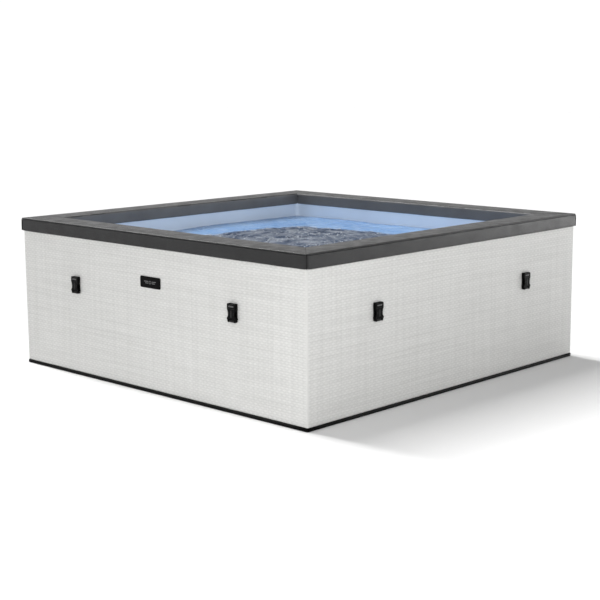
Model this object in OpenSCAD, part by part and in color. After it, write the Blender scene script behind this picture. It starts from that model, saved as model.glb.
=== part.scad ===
// Square foam-walled hot tub: four insulated walls and a padded rim on a base mat, a liner
// with its water fittings, eight strap buckles for a lid, and a pump, heater and blower in a
// case built into the back wall.
// Millimetres. The origin is on the floor under the tub's centre, +Z is up and the front
// wall faces -Y.

/* [Tub] */
// Side of the square, measured over the rim
tub_side = 1850; // [1800:10:2000]
// Height from the floor to the top of the rim
tub_height = 690; // [680:5:760]
// Distance that the rim stands out past the walls
rim_overhang = 7; // [6:1:9]
// Width of the rim's flat top
rim_width = 144; // [142:1:160]
// Height of the rim's outer band
rim_band = 60; // [45:1:80]
// Height of the rim's inner band
rim_drop = 56; // [40:1:75]
// Radius of the walls' upright corners
corner_r = 10; // [6:1:14]

/* [Layers] */
// Thickness of the base mat
base_t = 15; // [10:1:18]
// Thickness of the foam pad under the liner
pad_t = 20; // [12:1:22]
// Thickness of the leatherette covers
cover_t = 3; // [2:0.5:3.5]
// Thickness of the foam on top of the walls
rim_foam_t = 12; // [8:1:20]
// Thickness of the liner
liner_t = 2; // [1:0.5:2.5]

/* [Lid buckles] */
// Distance of each buckle from the centre line of its wall
buckle_x = 515; // [400:5:600]
// Height of the strap bar that each buckle swings on
buckle_z = 382; // [330:1:450]
// Width of a buckle's collar
buckle_w = 49; // [46:1:52]
// Height of a buckle
buckle_h = 77; // [74:1:80]
// Thickness of a buckle
buckle_t = 14; // [13:1:14]

/* [Name plate] */
// Width of the name plate
plate_w = 131; // [80:1:160]
// Height of the name plate
plate_h = 49; // [30:1:60]
// Height of the name plate's centre above the floor
plate_z = 482; // [440:1:520]

/* [Water fittings] */
// Distance of the suction and return fittings from the centre line
fitting_x = 160; // [150:1:170]
// Height of both fittings above the floor
fitting_z = 200; // [190:1:210]
// Radius of the filter cartridge
filter_r = 50; // [46:1:52]
// Length of the filter cartridge
filter_l = 72; // [60:1:80]
// Distance of the drain from the centre line
drain_x = 700; // [600:10:720]
// Height of the drain above the floor
drain_z = 62; // [60:1:70]
// Number of air jets along each side
jet_count = 16; // [8:1:24]

/* [Equipment case] */
// Width of the case
case_w = 560; // [556:1:564]
// Height of the case
case_h = 470; // [468:1:474]
// Depth of the case in the wall
case_d = 118; // [116:1:119]
// Height of the case's underside above the floor
case_z = 90; // [88:1:92]
// Distance between the centres of neighbouring keys
key_pitch = 30; // [28:1:31]
// Radius of a key
key_r = 9; // [7:0.5:10]

/* [Hidden] */
SIDES = ["front", "right", "back", "left"];
ENDS = ["a", "b"];
KEYS = ["power", "heat", "filter", "bubbles", "up", "down"];
BUCKLES = [for (s = SIDES) for (e = ENDS) str("buckle_", s, "_", e)];
$fn = 48;

// Shell layers, as distances from the tub's centre and heights above the floor
rim_out = tub_side / 2;
rim_in = rim_out - rim_width;
wall_out = rim_out - rim_overhang;
foam_out = wall_out - cover_t;
liner_in = rim_in + rim_overhang;
foam_in = liner_in + liner_t;
base_out = wall_out + 4;
wall_top = tub_height - cover_t - rim_foam_t;
wall_h = wall_top - base_t;
floor_z = base_t + pad_t;
rim_edge_r = 8;
piping_r = 3;
reach = 2 * tub_side;

// Buckles and their webbing, measured from the strap bar's axis
webbing_w = 30;
webbing_t = 1.5;
webbing_tab_h = 42;
buckle_gap = 2.5;
strap_bar_r = 3;
running = 0.05;
bar_y = wall_out + buckle_gap + buckle_t / 2;
buckle_below = 4;
buckle_top = buckle_h - buckle_below;
collar_h = 27;
mouth_w = 38;
mouth_t = 8;
mouth_floor = 16;

// Fittings on the inside of the back wall
pipe_r = 16;
pipe_wall = 2.5;
air_pipe_r = 12;
spigot_r = 25;
flange_t = 8;
hole_play = 0.2;
fitting_back_y = foam_in + 22;
air_feed_x = 40;
air_feed_z = 120;
channel_w = 50;
channel_h = 24;
channel_t = 2.5;
channel_out = liner_in - 8;
channel_z = floor_z + liner_t;
jet_r = 2;
joint_gap = 0.3;
drain_r = 16;

// Equipment case, from the outer foam face inwards
case_t = 4;
frame_w = case_w + 40;
frame_h = case_h + 40;
frame_z = case_z - 20;
frame_y = wall_out;
case_y = foam_out - case_d;
door_open_w = 524;
door_open_z = 100;
door_open_h = 375;
door_w = door_open_w + 38;
door_h = door_open_h + 24;
door_z = door_open_z - 12;
door_t = 5;
door_y = frame_y + case_t + 1;
hinge_x = -(door_w / 2 + 7);
hinge_y = door_y + 4.5;
hinge_zs = [door_z + 82, door_z + door_h - 82];
hinge_pin_r = 2;
knuckle_r = 4.5;
knuckle_h = 20;
latch_x = door_open_w / 2 - 14;
latch_zs = [door_z + door_h - 62, door_z + 62];
latch_r = 4;
vent_count = 14;

// Control panel above the door
panel_z = 525;
panel_w = 290;
panel_h = 66;
panel_t = 5;
window_w = 84;
window_h = 36;
board_y = foam_out - 10;
board_t = 1.6;
key_travel = 1.2;
inlet_x = 240;
inlet_w = 18;
inlet_bore_r = 4.25;

// Pump, blower, heater and their pipes stand in one plane of the case
plant_y = foam_out - 57;
pump_x = -170;
pump_z = 300;
pump_r = 50;
pump_w = 40;
motor_r = 42;
motor_l = 130;
blower_x = 75;
blower_z = 300;
blower_r = 65;
blower_t = 60;
heater_z = 440;
heater_r = 25;
heater_l = 220;

// ---------- shapes used by several parts ----------

// A shape drawn on the front wall, turned to wall 0 front, 1 right, 2 back or 3 left
module on_wall(side) {
    rotate([0, 0, 90 * side]) children();
}

// A shape drawn on the front wall, put on the back wall without turning left to right
module on_back() {
    mirror([0, 1, 0]) children();
}

// A square with rounded corners, centred, half as wide as given
module rounded_square(half, r) {
    square([2 * (half - r), 2 * half], center = true);
    square([2 * half, 2 * (half - r)], center = true);
    for (x = [-1, 1], y = [-1, 1]) translate([x * (half - r), y * (half - r)]) circle(r);
}

// A centred rectangle with rounded corners
module rounded_rect(w, h, r) {
    square([w - 2 * r, h], center = true);
    square([w, h - 2 * r], center = true);
    for (x = [-1, 1], y = [-1, 1]) translate([x * (w / 2 - r), y * (h / 2 - r)]) circle(r);
}

// The front quarter of the plan, cut along both mitres
module front_quarter() {
    polygon([[0, 0], [reach, -reach], [-reach, -reach]]);
}

// One wall's layer in plan, between two squares, mitred at both ends
module layer_plan(outer, inner, r) {
    intersection() {
        difference() {
            rounded_square(outer, r);
            square(2 * inner, center = true);
        }
        front_quarter();
    }
}

// A plan outline raised on a wall's face: the outline's y is height, its thickness stands
// out from the face at distance y0 from the tub's centre
module raised(y0, t) {
    translate([0, -y0, 0]) rotate([90, 0, 0]) linear_extrude(t) children();
}

// A cylinder through the wall along Y, from distance y0 to y1 on the front side
module through(x, z, r, y0, y1) {
    translate([x, -y0, z]) rotate([90, 0, 0]) cylinder(r = r, h = y1 - y0);
}

// A straight rod between two points
module rod(a, b, r) {
    d = b - a;
    translate(a) rotate([0, acos(d[2] / norm(d)), atan2(d[1], d[0])]) cylinder(r = r, h = norm(d));
}

// Rods along a route, with a round elbow at each bend
module run(route, r, elbow) {
    for (i = [1:len(route) - 1]) rod(route[i - 1], route[i], r);
    if (len(route) > 2) for (i = [1:len(route) - 2]) translate(route[i]) sphere(r * elbow);
}

// The route with both ends moved out by a distance
function stretched(route, by) = let (
    n = len(route) - 1,
    first = route[0] + by * (route[0] - route[1]) / norm(route[0] - route[1]),
    last = route[n] + by * (route[n] - route[n - 1]) / norm(route[n] - route[n - 1]))
    [for (i = [0:n]) i == 0 ? first : i == n ? last : route[i]];

// A hollow pipe with elbow fittings
module pipe(route, r, wall = pipe_wall) {
    difference() {
        run(route, r, 1.3);
        run(stretched(route, 1), r - wall, 1.12);
    }
}

// ---------- shell ----------

module base_mat() {
    color([0.05, 0.05, 0.05]) linear_extrude(base_t) rounded_square(base_out, corner_r);
}

module floor_pad() {
    color("gainsboro") translate([0, 0, base_t]) linear_extrude(pad_t) square(2 * foam_in, center = true);
}

// Holes for the fittings that pass through the back wall
module back_wall_holes(y0, y1) {
    for (x = [-fitting_x, fitting_x]) through(x, fitting_z, spigot_r + hole_play, y0, y1);
    through(air_feed_x, air_feed_z, air_pipe_r + hole_play, y0, y1);
    through(-drain_x, drain_z, drain_r + hole_play, y0, y1);
}

module case_pocket(y0, y1) {
    translate([-case_w / 2, -y1, case_z]) cube([case_w, y1 - y0, case_h]);
}

module wall_foam(side) {
    color("gainsboro") difference() {
        on_wall(side) translate([0, 0, base_t]) linear_extrude(wall_h)
            layer_plan(foam_out, foam_in, corner_r - cover_t);
        if (side == 2) on_back() {
            back_wall_holes(foam_in - 1, foam_out + 1);
            case_pocket(case_y, foam_out + 1);
        }
    }
}

module wall_cover(side) {
    color([0.86, 0.86, 0.84]) difference() {
        on_wall(side) translate([0, 0, base_t]) linear_extrude(wall_h) intersection() {
            difference() {
                rounded_square(wall_out, corner_r);
                rounded_square(foam_out, corner_r - cover_t);
            }
            front_quarter();
        }
        if (side == 2) on_back() {
            through(-drain_x, drain_z, drain_r + hole_play, foam_out - 1, wall_out + 1);
            case_pocket(foam_out - 1, wall_out + 1);
        }
    }
}

module liner() {
    color([0.55, 0.72, 0.88]) difference() {
        translate([0, 0, floor_z]) linear_extrude(wall_top - floor_z) square(2 * foam_in, center = true);
        translate([0, 0, floor_z + liner_t]) linear_extrude(wall_top) square(2 * liner_in, center = true);
        on_back() back_wall_holes(liner_in - 1, foam_in + 1);
    }
}

// The rim's outline across the wall, x outwards and y up, set in by a distance all round
module rim_outline(inset, edge_r) {
    w = rim_width - 2 * inset;
    top = tub_height - inset;
    low = tub_height - rim_band + inset;
    translate([rim_in + inset, 0]) {
        translate([0, low]) square([w, top - edge_r - low]);
        translate([edge_r, low]) square([w - 2 * edge_r, top - low]);
        for (x = [edge_r, w - edge_r]) translate([x, top - edge_r]) circle(edge_r);
        translate([w - 2 * edge_r, top - 2 * edge_r]) square(2 * edge_r);
    }
}

// What the rim's padding leaves open: the wall's top, the gap under the inner band and the
// corner that the piping lies in
module rim_openings(drop) {
    translate([liner_in, 0]) square([wall_out - liner_in, wall_top]);
    translate([rim_in - 1, 0]) square([rim_overhang + 2, tub_height - drop]);
    translate([rim_out - 2 * piping_r, tub_height - 2 * piping_r]) square(3 * piping_r);
}

// A rim outline drawn out along the front wall and mitred at both ends
module rim_side() {
    intersection() {
        translate([reach / 2, 0, 0]) rotate([90, 0, -90]) linear_extrude(reach) children();
        linear_extrude(2 * tub_height) front_quarter();
    }
}

module rim_foam(side) {
    color("gainsboro") on_wall(side) rim_side() difference() {
        rim_outline(cover_t, rim_edge_r - cover_t);
        rim_openings(rim_drop - cover_t);
    }
}

module rim_cover(side) {
    color([0.16, 0.16, 0.17]) on_wall(side) rim_side() difference() {
        rim_outline(0, rim_edge_r);
        difference() {
            rim_outline(cover_t, rim_edge_r - cover_t);
            translate([rim_in, 0]) square([rim_overhang, tub_height - rim_drop + cover_t]);
        }
        rim_openings(rim_drop);
    }
}

module rim_piping() {
    at = rim_out - piping_r;
    color([0.1, 0.1, 0.1]) translate([0, 0, tub_height - piping_r]) for (side = [0:3])
        on_wall(side) translate([0, -at, 0]) rotate([0, 90, 0])
            cylinder(r = piping_r, h = 2 * at, center = true);
}

module name_plate() {
    color([0.06, 0.06, 0.06]) translate([0, 0, plate_z]) raised(wall_out, 3)
        rounded_rect(plate_w, plate_h, 7);
}

// ---------- lid buckles ----------

module buckle_outline() {
    waist_w = buckle_w - 10;
    translate([0, buckle_top - collar_h / 2]) rounded_rect(buckle_w, collar_h, 6);
    polygon([
        [-buckle_w / 2 + 3, buckle_top - collar_h + 4], [buckle_w / 2 - 3, buckle_top - collar_h + 4],
        [waist_w / 2, 33], [waist_w / 2, 22], [buckle_w / 2, 10], [buckle_w / 2 - 4, -buckle_below],
        [-buckle_w / 2 + 4, -buckle_below], [-buckle_w / 2, 10], [-waist_w / 2, 22], [-waist_w / 2, 33]
    ]);
    for (x = [-1, 1]) translate([x * (buckle_w / 2 - 4), 11]) circle(5.5);
}

// A side-release socket, mouth up, that swings on the strap bar at its lower end
module buckle(side, end) {
    strap_gap_w = webbing_w + 2;
    color([0.05, 0.05, 0.05]) on_wall(side) translate([(end == 0 ? -1 : 1) * buckle_x, -bar_y, buckle_z]) {
        difference() {
            raised(-buckle_t / 2, buckle_t) buckle_outline();
            translate([-mouth_w / 2, -mouth_t / 2, mouth_floor]) cube([mouth_w, mouth_t, buckle_h]);
            translate([-buckle_w, -mouth_t / 2, mouth_floor + 5]) cube([2 * buckle_w, mouth_t, 19]);
            translate([-strap_gap_w / 2, -buckle_t, -2 * buckle_below])
                cube([strap_gap_w, 2 * buckle_t, 2 * buckle_below + 8.5]);
            translate([-15, -buckle_t / 2 - 1, buckle_top - 16]) cube([30, 2, 7]);
        }
        rotate([0, 90, 0]) cylinder(r = strap_bar_r, h = strap_gap_w + 4, center = true);
    }
}

// Webbing that loops round each strap bar and is sewn to the wall behind the buckle
module webbing_tab() {
    loop_r = strap_bar_r + running;
    translate([-webbing_w / 2, 0, 0]) {
        difference() {
            union() {
                translate([0, -bar_y, 0]) rotate([0, 90, 0]) cylinder(r = loop_r + webbing_t, h = webbing_w);
                translate([0, -bar_y, -webbing_t]) cube([webbing_w, bar_y - wall_out, 2 * webbing_t]);
            }
            translate([-1, -bar_y, 0]) rotate([0, 90, 0]) cylinder(r = loop_r, h = webbing_w + 2);
        }
        translate([0, -wall_out - webbing_t, -webbing_t]) cube([webbing_w, webbing_t, webbing_tab_h]);
    }
}

module buckle_webbing() {
    color([0.08, 0.08, 0.08]) for (side = [0:3], x = [-buckle_x, buckle_x])
        on_wall(side) translate([x, 0, buckle_z]) webbing_tab();
}

// ---------- water fittings, drawn on the front side and mirrored to the back ----------

// A flanged fitting through the liner, the foam and the back of the equipment case
module wall_fitting(x, flange_r, bore_r) {
    difference() {
        union() {
            through(x, fitting_z, flange_r, liner_in - flange_t, liner_in);
            through(x, fitting_z, spigot_r, liner_in - 1, fitting_back_y);
        }
        through(x, fitting_z, bore_r, liner_in - flange_t - 1, fitting_back_y + 1);
    }
}

module suction_fitting() {
    core_r = filter_r - 28.5;
    core_y0 = liner_in - flange_t - filter_l - 4;
    color("whitesmoke") on_back() difference() {
        union() {
            wall_fitting(-fitting_x, filter_r + 10, pipe_r - pipe_wall);
            through(-fitting_x, fitting_z, core_r, core_y0, liner_in - flange_t + 1);
        }
        through(-fitting_x, fitting_z, pipe_r - pipe_wall, core_y0 + 4, liner_in);
        for (i = [0:3], a = [0:60:120]) translate([-fitting_x, -core_y0 - 16 - 16 * i, fitting_z])
            rotate([0, a, 0]) cube([4, 10, 4 * filter_r], center = true);
    }
}

module filter_cartridge() {
    y0 = liner_in - flange_t - filter_l;
    color([0.85, 0.9, 0.95]) on_back() difference() {
        through(-fitting_x, fitting_z, filter_r, y0, liner_in - flange_t);
        through(-fitting_x, fitting_z, filter_r - 28, y0 - 1, liner_in);
    }
}

// A cup over the cartridge, slotted all over its face and twisted to release
module filter_cap() {
    cap_r = filter_r + 7;
    y0 = liner_in - flange_t - filter_l - 9;
    color("whitesmoke") on_back() difference() {
        union() {
            through(-fitting_x, fitting_z, cap_r, y0, liner_in - flange_t - 0.5);
            translate([-fitting_x, -y0 + 4, fitting_z]) rotate([90, 0, 0]) translate([0, 0, -4])
                linear_extrude(8) square([2 * cap_r - 20, 12], center = true);
        }
        through(-fitting_x, fitting_z, filter_r + 3, y0 + 4, liner_in);
        for (i = [-3:3]) if (i != 0) translate([-fitting_x + 12 * i, -y0 - 1, fitting_z])
            for (z = [-1, 1]) translate([0, 0, z * (26 - 2.5 * abs(i))])
                cube([5, 12, 36 - 5 * abs(i)], center = true);
    }
}

module return_fitting() {
    color("whitesmoke") on_back() {
        wall_fitting(fitting_x, 40, pipe_r - pipe_wall);
        for (a = [0, 90]) translate([fitting_x, -liner_in + 4, fitting_z]) rotate([0, a, 0])
            cube([2.5, 4, 2 * pipe_r], center = true);
    }
}

// A duct of upturned channel along the foot of each wall, with a row of air jets
module air_channel() {
    mid = channel_out - channel_w / 2;
    jet_pitch = 2 * (mid - 80) / jet_count;
    color([0.6, 0.75, 0.88]) difference() {
        for (side = [0:3]) on_wall(side) translate([0, -joint_gap, channel_z]) difference() {
            linear_extrude(channel_h) layer_plan(channel_out - joint_gap, channel_out - channel_w, 1);
            translate([0, 0, -1]) linear_extrude(channel_h - channel_t + 1) intersection() {
                layer_plan(channel_out - channel_t, channel_out - channel_w + channel_t, 1);
                square([2 * (channel_out - channel_w), reach], center = true);
            }
            for (i = [0:jet_count - 1]) translate([(i - (jet_count - 1) / 2) * jet_pitch, -mid, 0])
                cylinder(r = jet_r, h = reach);
        }
        on_back() translate([air_feed_x, -mid, channel_z + 4])
            cylinder(r = air_pipe_r - pipe_wall, h = channel_h);
    }
}

module air_feed_elbow() {
    mid = channel_out - channel_w / 2;
    foot_z = channel_z + channel_h;
    color("whitesmoke") on_back() difference() {
        union() {
            run([[air_feed_x, -fitting_back_y, air_feed_z], [air_feed_x, -mid, air_feed_z],
                [air_feed_x, -mid, foot_z]], air_pipe_r, 1.3);
            translate([air_feed_x, -mid, foot_z]) cylinder(r = 20, h = 3);
            through(air_feed_x, air_feed_z, air_pipe_r + 9, liner_in - 4, liner_in);
        }
        run([[air_feed_x, -fitting_back_y - 1, air_feed_z], [air_feed_x, -mid, air_feed_z],
            [air_feed_x, -mid, foot_z - 1]], air_pipe_r - pipe_wall, 1.12);
    }
}

module drain_valve() {
    color([0.12, 0.12, 0.12]) on_back() difference() {
        union() {
            through(-drain_x, drain_z, drain_r + 6, liner_in - 4, liner_in);
            through(-drain_x, drain_z, drain_r, liner_in - 1, wall_out + 1);
            through(-drain_x, drain_z, drain_r + 14, wall_out, wall_out + 4);
            through(-drain_x, drain_z, 13.2, wall_out, wall_out + 13);
        }
        through(-drain_x, drain_z, 10, liner_in - 5, wall_out + 14);
    }
}

module drain_strainer() {
    color("whitesmoke") on_back() difference() {
        through(-drain_x, drain_z, drain_r, liner_in - 7, liner_in - 4);
        for (i = [-2:2]) translate([-drain_x + 5 * i, -liner_in + 5.5, drain_z])
            cube([2, 6, 24 - 4 * abs(i)], center = true);
    }
}

module drain_cap() {
    color([0.1, 0.1, 0.1]) on_back() difference() {
        union() {
            through(-drain_x, drain_z, 18, wall_out + 4.4, wall_out + 16.5);
            for (a = [0:30:330]) translate([-drain_x, 0, drain_z]) rotate([0, a, 0])
                through(18, 0, 1.6, wall_out + 4.4, wall_out + 15);
        }
        through(-drain_x, drain_z, 13.2 + running, wall_out + 4, wall_out + 13.5);
    }
}

// ---------- equipment case, drawn on the front side and mirrored to the back ----------

module equipment_case() {
    inner_w = case_w - 2 * case_t;
    color([0.8, 0.8, 0.78]) on_back() difference() {
        union() {
            translate([-case_w / 2, -frame_y, case_z]) cube([case_w, frame_y - case_y, case_h]);
            translate([0, 0, frame_z + frame_h / 2]) raised(frame_y, case_t)
                rounded_rect(frame_w, frame_h, 14);
            for (z = hinge_zs, e = [-1, 1]) translate([hinge_x, -hinge_y, z + e * (knuckle_h / 2 + 5.3)]) {
                cylinder(r = knuckle_r, h = 10, center = true);
                translate([0, knuckle_r / 2 + 1, 0]) cube([2 * knuckle_r, knuckle_r + 2, 10], center = true);
            }
        }
        translate([-inner_w / 2, -frame_y, case_z + case_t])
            cube([inner_w, frame_y - case_y - case_t, case_h - 2 * case_t]);
        translate([-door_open_w / 2, -reach, door_open_z])
            cube([door_open_w, reach - frame_y + 1, door_open_h]);
        translate([0, 0, panel_z]) raised(frame_y - 1, case_t + 2)
            rounded_rect(panel_w - 20, panel_h - 16, 4);
        for (z = hinge_zs) translate([hinge_x, -hinge_y, z]) cylinder(r = hinge_pin_r, h = 60, center = true);
        for (x = [-fitting_x, fitting_x])
            through(x, fitting_z, spigot_r + hole_play, case_y - 1, case_y + 20);
        through(air_feed_x, air_feed_z, air_pipe_r + hole_play, case_y - 1, case_y + 20);
        translate([inlet_x, 0, panel_z]) raised(frame_y - 1, case_t + 2) square(inlet_w, center = true);
    }
}

module equipment_door() {
    color([0.84, 0.84, 0.82]) on_back() difference() {
        union() {
            translate([0, 0, door_z + door_h / 2]) raised(door_y, door_t) rounded_rect(door_w, door_h, 10);
            for (z = hinge_zs) translate([hinge_x, -hinge_y, z]) {
                cylinder(r = knuckle_r, h = knuckle_h, center = true);
                translate([6, 0, 0]) cube([12, 5, knuckle_h], center = true);
            }
        }
        for (z = hinge_zs) translate([hinge_x, -hinge_y, z])
            cylinder(r = hinge_pin_r + running, h = 2 * knuckle_h, center = true);
        for (z = latch_zs) through(latch_x, z, latch_r + running, door_y - 1, door_y + door_t + 1);
        for (i = [0:vent_count - 1]) translate([(i - (vent_count - 1) / 2) * 18, 0, door_z + 70])
            raised(door_y - 1, door_t + 2) rounded_rect(6, 70, 2.9);
    }
}

module door_hinge_pins() {
    color("silver") on_back() for (z = hinge_zs) translate([hinge_x, -hinge_y, z]) {
        cylinder(r = hinge_pin_r, h = 46, center = true);
    }
}

// A quarter-turn knob with a tongue that reaches behind the edge of the door opening
module door_latch(z) {
    tongue_y = frame_y - 3.5;
    color([0.12, 0.12, 0.12]) on_back() {
        through(latch_x, z, latch_r, tongue_y, door_y + door_t + 2);
        through(latch_x, z, 12, door_y + door_t + 0.3, door_y + door_t + 3);
        translate([latch_x, -(door_y + door_t + 4), z]) cube([20, 4, 5], center = true);
        translate([latch_x - 5, -tongue_y - 3, z - 5]) cube([28, 3, 10]);
    }
}

function key_x(i) = (i < 3 ? -1 : 1) * (window_w / 2 + 20) + (i < 3 ? i - 2 : i - 3) * key_pitch;

module control_panel() {
    color([0.08, 0.08, 0.09]) on_back() translate([0, 0, panel_z]) difference() {
        raised(frame_y + case_t, panel_t) rounded_rect(panel_w, panel_h, 10);
        for (i = [0:5]) through(key_x(i), 0, key_r + running, frame_y, frame_y + 2 * panel_t);
        raised(frame_y + case_t + panel_t - 2, 3) rounded_rect(window_w, window_h, 4);
        raised(frame_y, 20) rounded_rect(window_w - 8, window_h - 8, 3);
    }
}

module display_window() {
    color([0.1, 0.2, 0.3]) on_back() translate([0, 0, panel_z])
        raised(frame_y + case_t + panel_t - 2, 2) rounded_rect(window_w, window_h, 4);
}

module control_board() {
    color([0.05, 0.3, 0.15]) on_back() translate([0, 0, panel_z]) {
        raised(board_y, board_t) square([panel_w - 30, panel_h - 20], center = true);
        for (i = [0:5]) raised(board_y + board_t - 0.1, 4.1) translate([key_x(i), 0])
            square(6, center = true);
        for (x = [-1, 1])
            through(x * (window_w / 2 + 4), 0, 3, board_y + board_t - 0.1, frame_y + case_t);
    }
}

// A key on its own stem, held behind the panel by a collar
module key(i) {
    switch_top = board_y + board_t + 4;
    color([0.2, 0.2, 0.22]) on_back() {
        through(key_x(i), panel_z, key_r, frame_y + 2, frame_y + case_t + panel_t + 2);
        through(key_x(i), panel_z, key_r + 1.5, frame_y + case_t - 2.2, frame_y + case_t - 0.1);
        through(key_x(i), panel_z, 2, switch_top + key_travel + 0.1, frame_y + 3);
    }
}

// A gland for the lead: a square neck through the frame, a plate outside and a nut inside
module power_inlet() {
    color([0.12, 0.12, 0.12]) on_back() difference() {
        union() {
            translate([inlet_x, 0, panel_z]) {
                raised(frame_y - 8, case_t + 9) square(inlet_w - 2 * running, center = true);
                raised(frame_y + case_t, 4) rounded_rect(28, 28, 4);
            }
            through(inlet_x, panel_z, 10, frame_y + case_t, frame_y + 16);
            through(inlet_x, panel_z, 14, frame_y - 8, frame_y - 3);
        }
        through(inlet_x, panel_z, inlet_bore_r, frame_y - 9, frame_y + 17);
    }
}

// ---------- pump, blower, heater and pipes ----------

module pump_housing() {
    chamber_w = pump_w - 8;
    color([0.2, 0.22, 0.25]) on_back() difference() {
        union() {
            translate([pump_x, -plant_y, pump_z]) rotate([0, 90, 0]) {
                cylinder(r = pump_r, h = pump_w, center = true);
                translate([0, 0, pump_w / 2 - 1]) cylinder(r = motor_r, h = motor_l + 1);
            }
            for (x = [pump_x + 35, pump_x + 125]) translate([x, -plant_y, pump_z - motor_r - 3])
                cube([14, 50, 24], center = true);
            rod([pump_x, -plant_y, pump_z + 30], [pump_x, -plant_y, pump_z + pump_r + 10], pipe_r);
        }
        translate([pump_x, -plant_y, pump_z]) rotate([0, 90, 0]) {
            cylinder(r = motor_r, h = chamber_w, center = true);
            cylinder(r = 5 + running, h = 60);
            translate([0, 0, -pump_w]) cylinder(r = pipe_r - pipe_wall, h = pump_w);
        }
        rod([pump_x, -plant_y, pump_z + 30], [pump_x, -plant_y, pump_z + pump_r + 11], pipe_r - pipe_wall);
    }
}

module pump_impeller() {
    color([0.1, 0.1, 0.1]) on_back() translate([pump_x, -plant_y, pump_z]) rotate([0, 90, 0]) {
        translate([0, 0, 6]) cylinder(r = 36, h = 4);
        translate([0, 0, -8]) cylinder(r = 9, h = 15);
        cylinder(r = 5, h = 58);
        for (a = [0:60:300]) rotate([0, 0, a]) translate([6, -1.5, -8]) cube([28, 3, 15]);
    }
}

module blower_housing() {
    y0 = plant_y - blower_t / 2;
    color([0.25, 0.25, 0.27]) on_back() difference() {
        union() {
            through(blower_x, blower_z, blower_r, y0, y0 + blower_t);
            through(blower_x, blower_z, blower_r - 30, y0 - 22, y0 + 1);
            translate([air_feed_x, -plant_y, blower_z - blower_r - 10]) cylinder(r = air_pipe_r + 4, h = 30);
        }
        through(blower_x, blower_z, blower_r - 7, y0 + 5, y0 + blower_t - 5);
        through(blower_x, blower_z, blower_r - 35, y0 + 10, y0 + blower_t + 1);
        through(blower_x, blower_z, 4 + running, y0 - 18, y0 + 10);
        translate([air_feed_x, -plant_y, blower_z - blower_r - 11])
            cylinder(r = air_pipe_r - pipe_wall, h = 31);
    }
}

module blower_impeller() {
    y0 = plant_y - blower_t / 2 + 8;
    drum_r = blower_r - 15;
    vanes = 18;
    color([0.12, 0.12, 0.12]) on_back() {
        through(blower_x, blower_z, drum_r, y0, y0 + 3);
        through(blower_x, blower_z, 4, y0 - 24, y0 + 20);
        through(blower_x, blower_z, 9, y0, y0 + 18);
        for (a = [0:vanes - 1]) translate([blower_x, -y0 - 2, blower_z]) rotate([0, a * 360 / vanes, 0])
            translate([drum_r - 14, -32, -1]) cube([12, 32, 2]);
    }
}

module heater_tube() {
    ends = [-heater_l / 2, heater_l / 2];
    color("silver") on_back() translate([0, -plant_y, heater_z]) difference() {
        union() {
            rotate([0, 90, 0]) cylinder(r = heater_r, h = heater_l, center = true);
            for (x = ends) translate([x, 0, 0]) rotate([0, 90, 0])
                cylinder(r = heater_r + 5, h = 12, center = true);
            translate([0, -heater_r - 3, 0]) cube([60, 16, 26], center = true);
        }
        rotate([0, 90, 0]) cylinder(r = heater_r - 2.5, h = heater_l - 12, center = true);
        rotate([0, 90, 0]) cylinder(r = pipe_r - pipe_wall, h = heater_l + 20, center = true);
    }
}

module pipework() {
    heater_end = heater_l / 2 + 6;
    low_y = -fitting_back_y;
    riser_x = 205;
    color([0.75, 0.75, 0.75]) on_back() {
        pipe([[-fitting_x, low_y, fitting_z], [-fitting_x, -plant_y, fitting_z], [-230, -plant_y, fitting_z],
            [-230, -plant_y, pump_z], [pump_x - pump_w / 2, -plant_y, pump_z]], pipe_r);
        pipe([[pump_x, -plant_y, pump_z + pump_r + 10], [pump_x, -plant_y, heater_z],
            [-heater_end, -plant_y, heater_z]], pipe_r);
        pipe([[heater_end, -plant_y, heater_z], [riser_x, -plant_y, heater_z], [riser_x, -plant_y, fitting_z],
            [fitting_x, -plant_y, fitting_z], [fitting_x, low_y, fitting_z]], pipe_r);
        pipe([[air_feed_x, -plant_y, blower_z - blower_r - 10], [air_feed_x, -plant_y, air_feed_z],
            [air_feed_x, low_y, air_feed_z]], air_pipe_r);
    }
}

base_mat();
floor_pad();
for (i = [0:3]) wall_foam(i);
for (i = [0:3]) wall_cover(i);
liner();
for (i = [0:3]) rim_foam(i);
for (i = [0:3]) rim_cover(i);
rim_piping();
name_plate();
buckle_webbing();
for (i = [0:7]) buckle(floor(i / 2), i % 2);
suction_fitting();
filter_cartridge();
filter_cap();
return_fitting();
air_channel();
air_feed_elbow();
drain_valve();
drain_strainer();
drain_cap();
equipment_case();
equipment_door();
door_hinge_pins();
door_latch(latch_zs[0]);  // door_latch_upper
door_latch(latch_zs[1]);  // door_latch_lower
control_panel();
display_window();
control_board();
for (i = [0:5]) key(i);
pump_housing();
pump_impeller();
blower_housing();
blower_impeller();
heater_tube();
pipework();
power_inlet();
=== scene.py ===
"""Looks of a square foam-walled hot tub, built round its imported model. Metres, +Z up."""
import math
import random

import bmesh
import bpy
from mathutils import Matrix, Vector, noise


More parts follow.
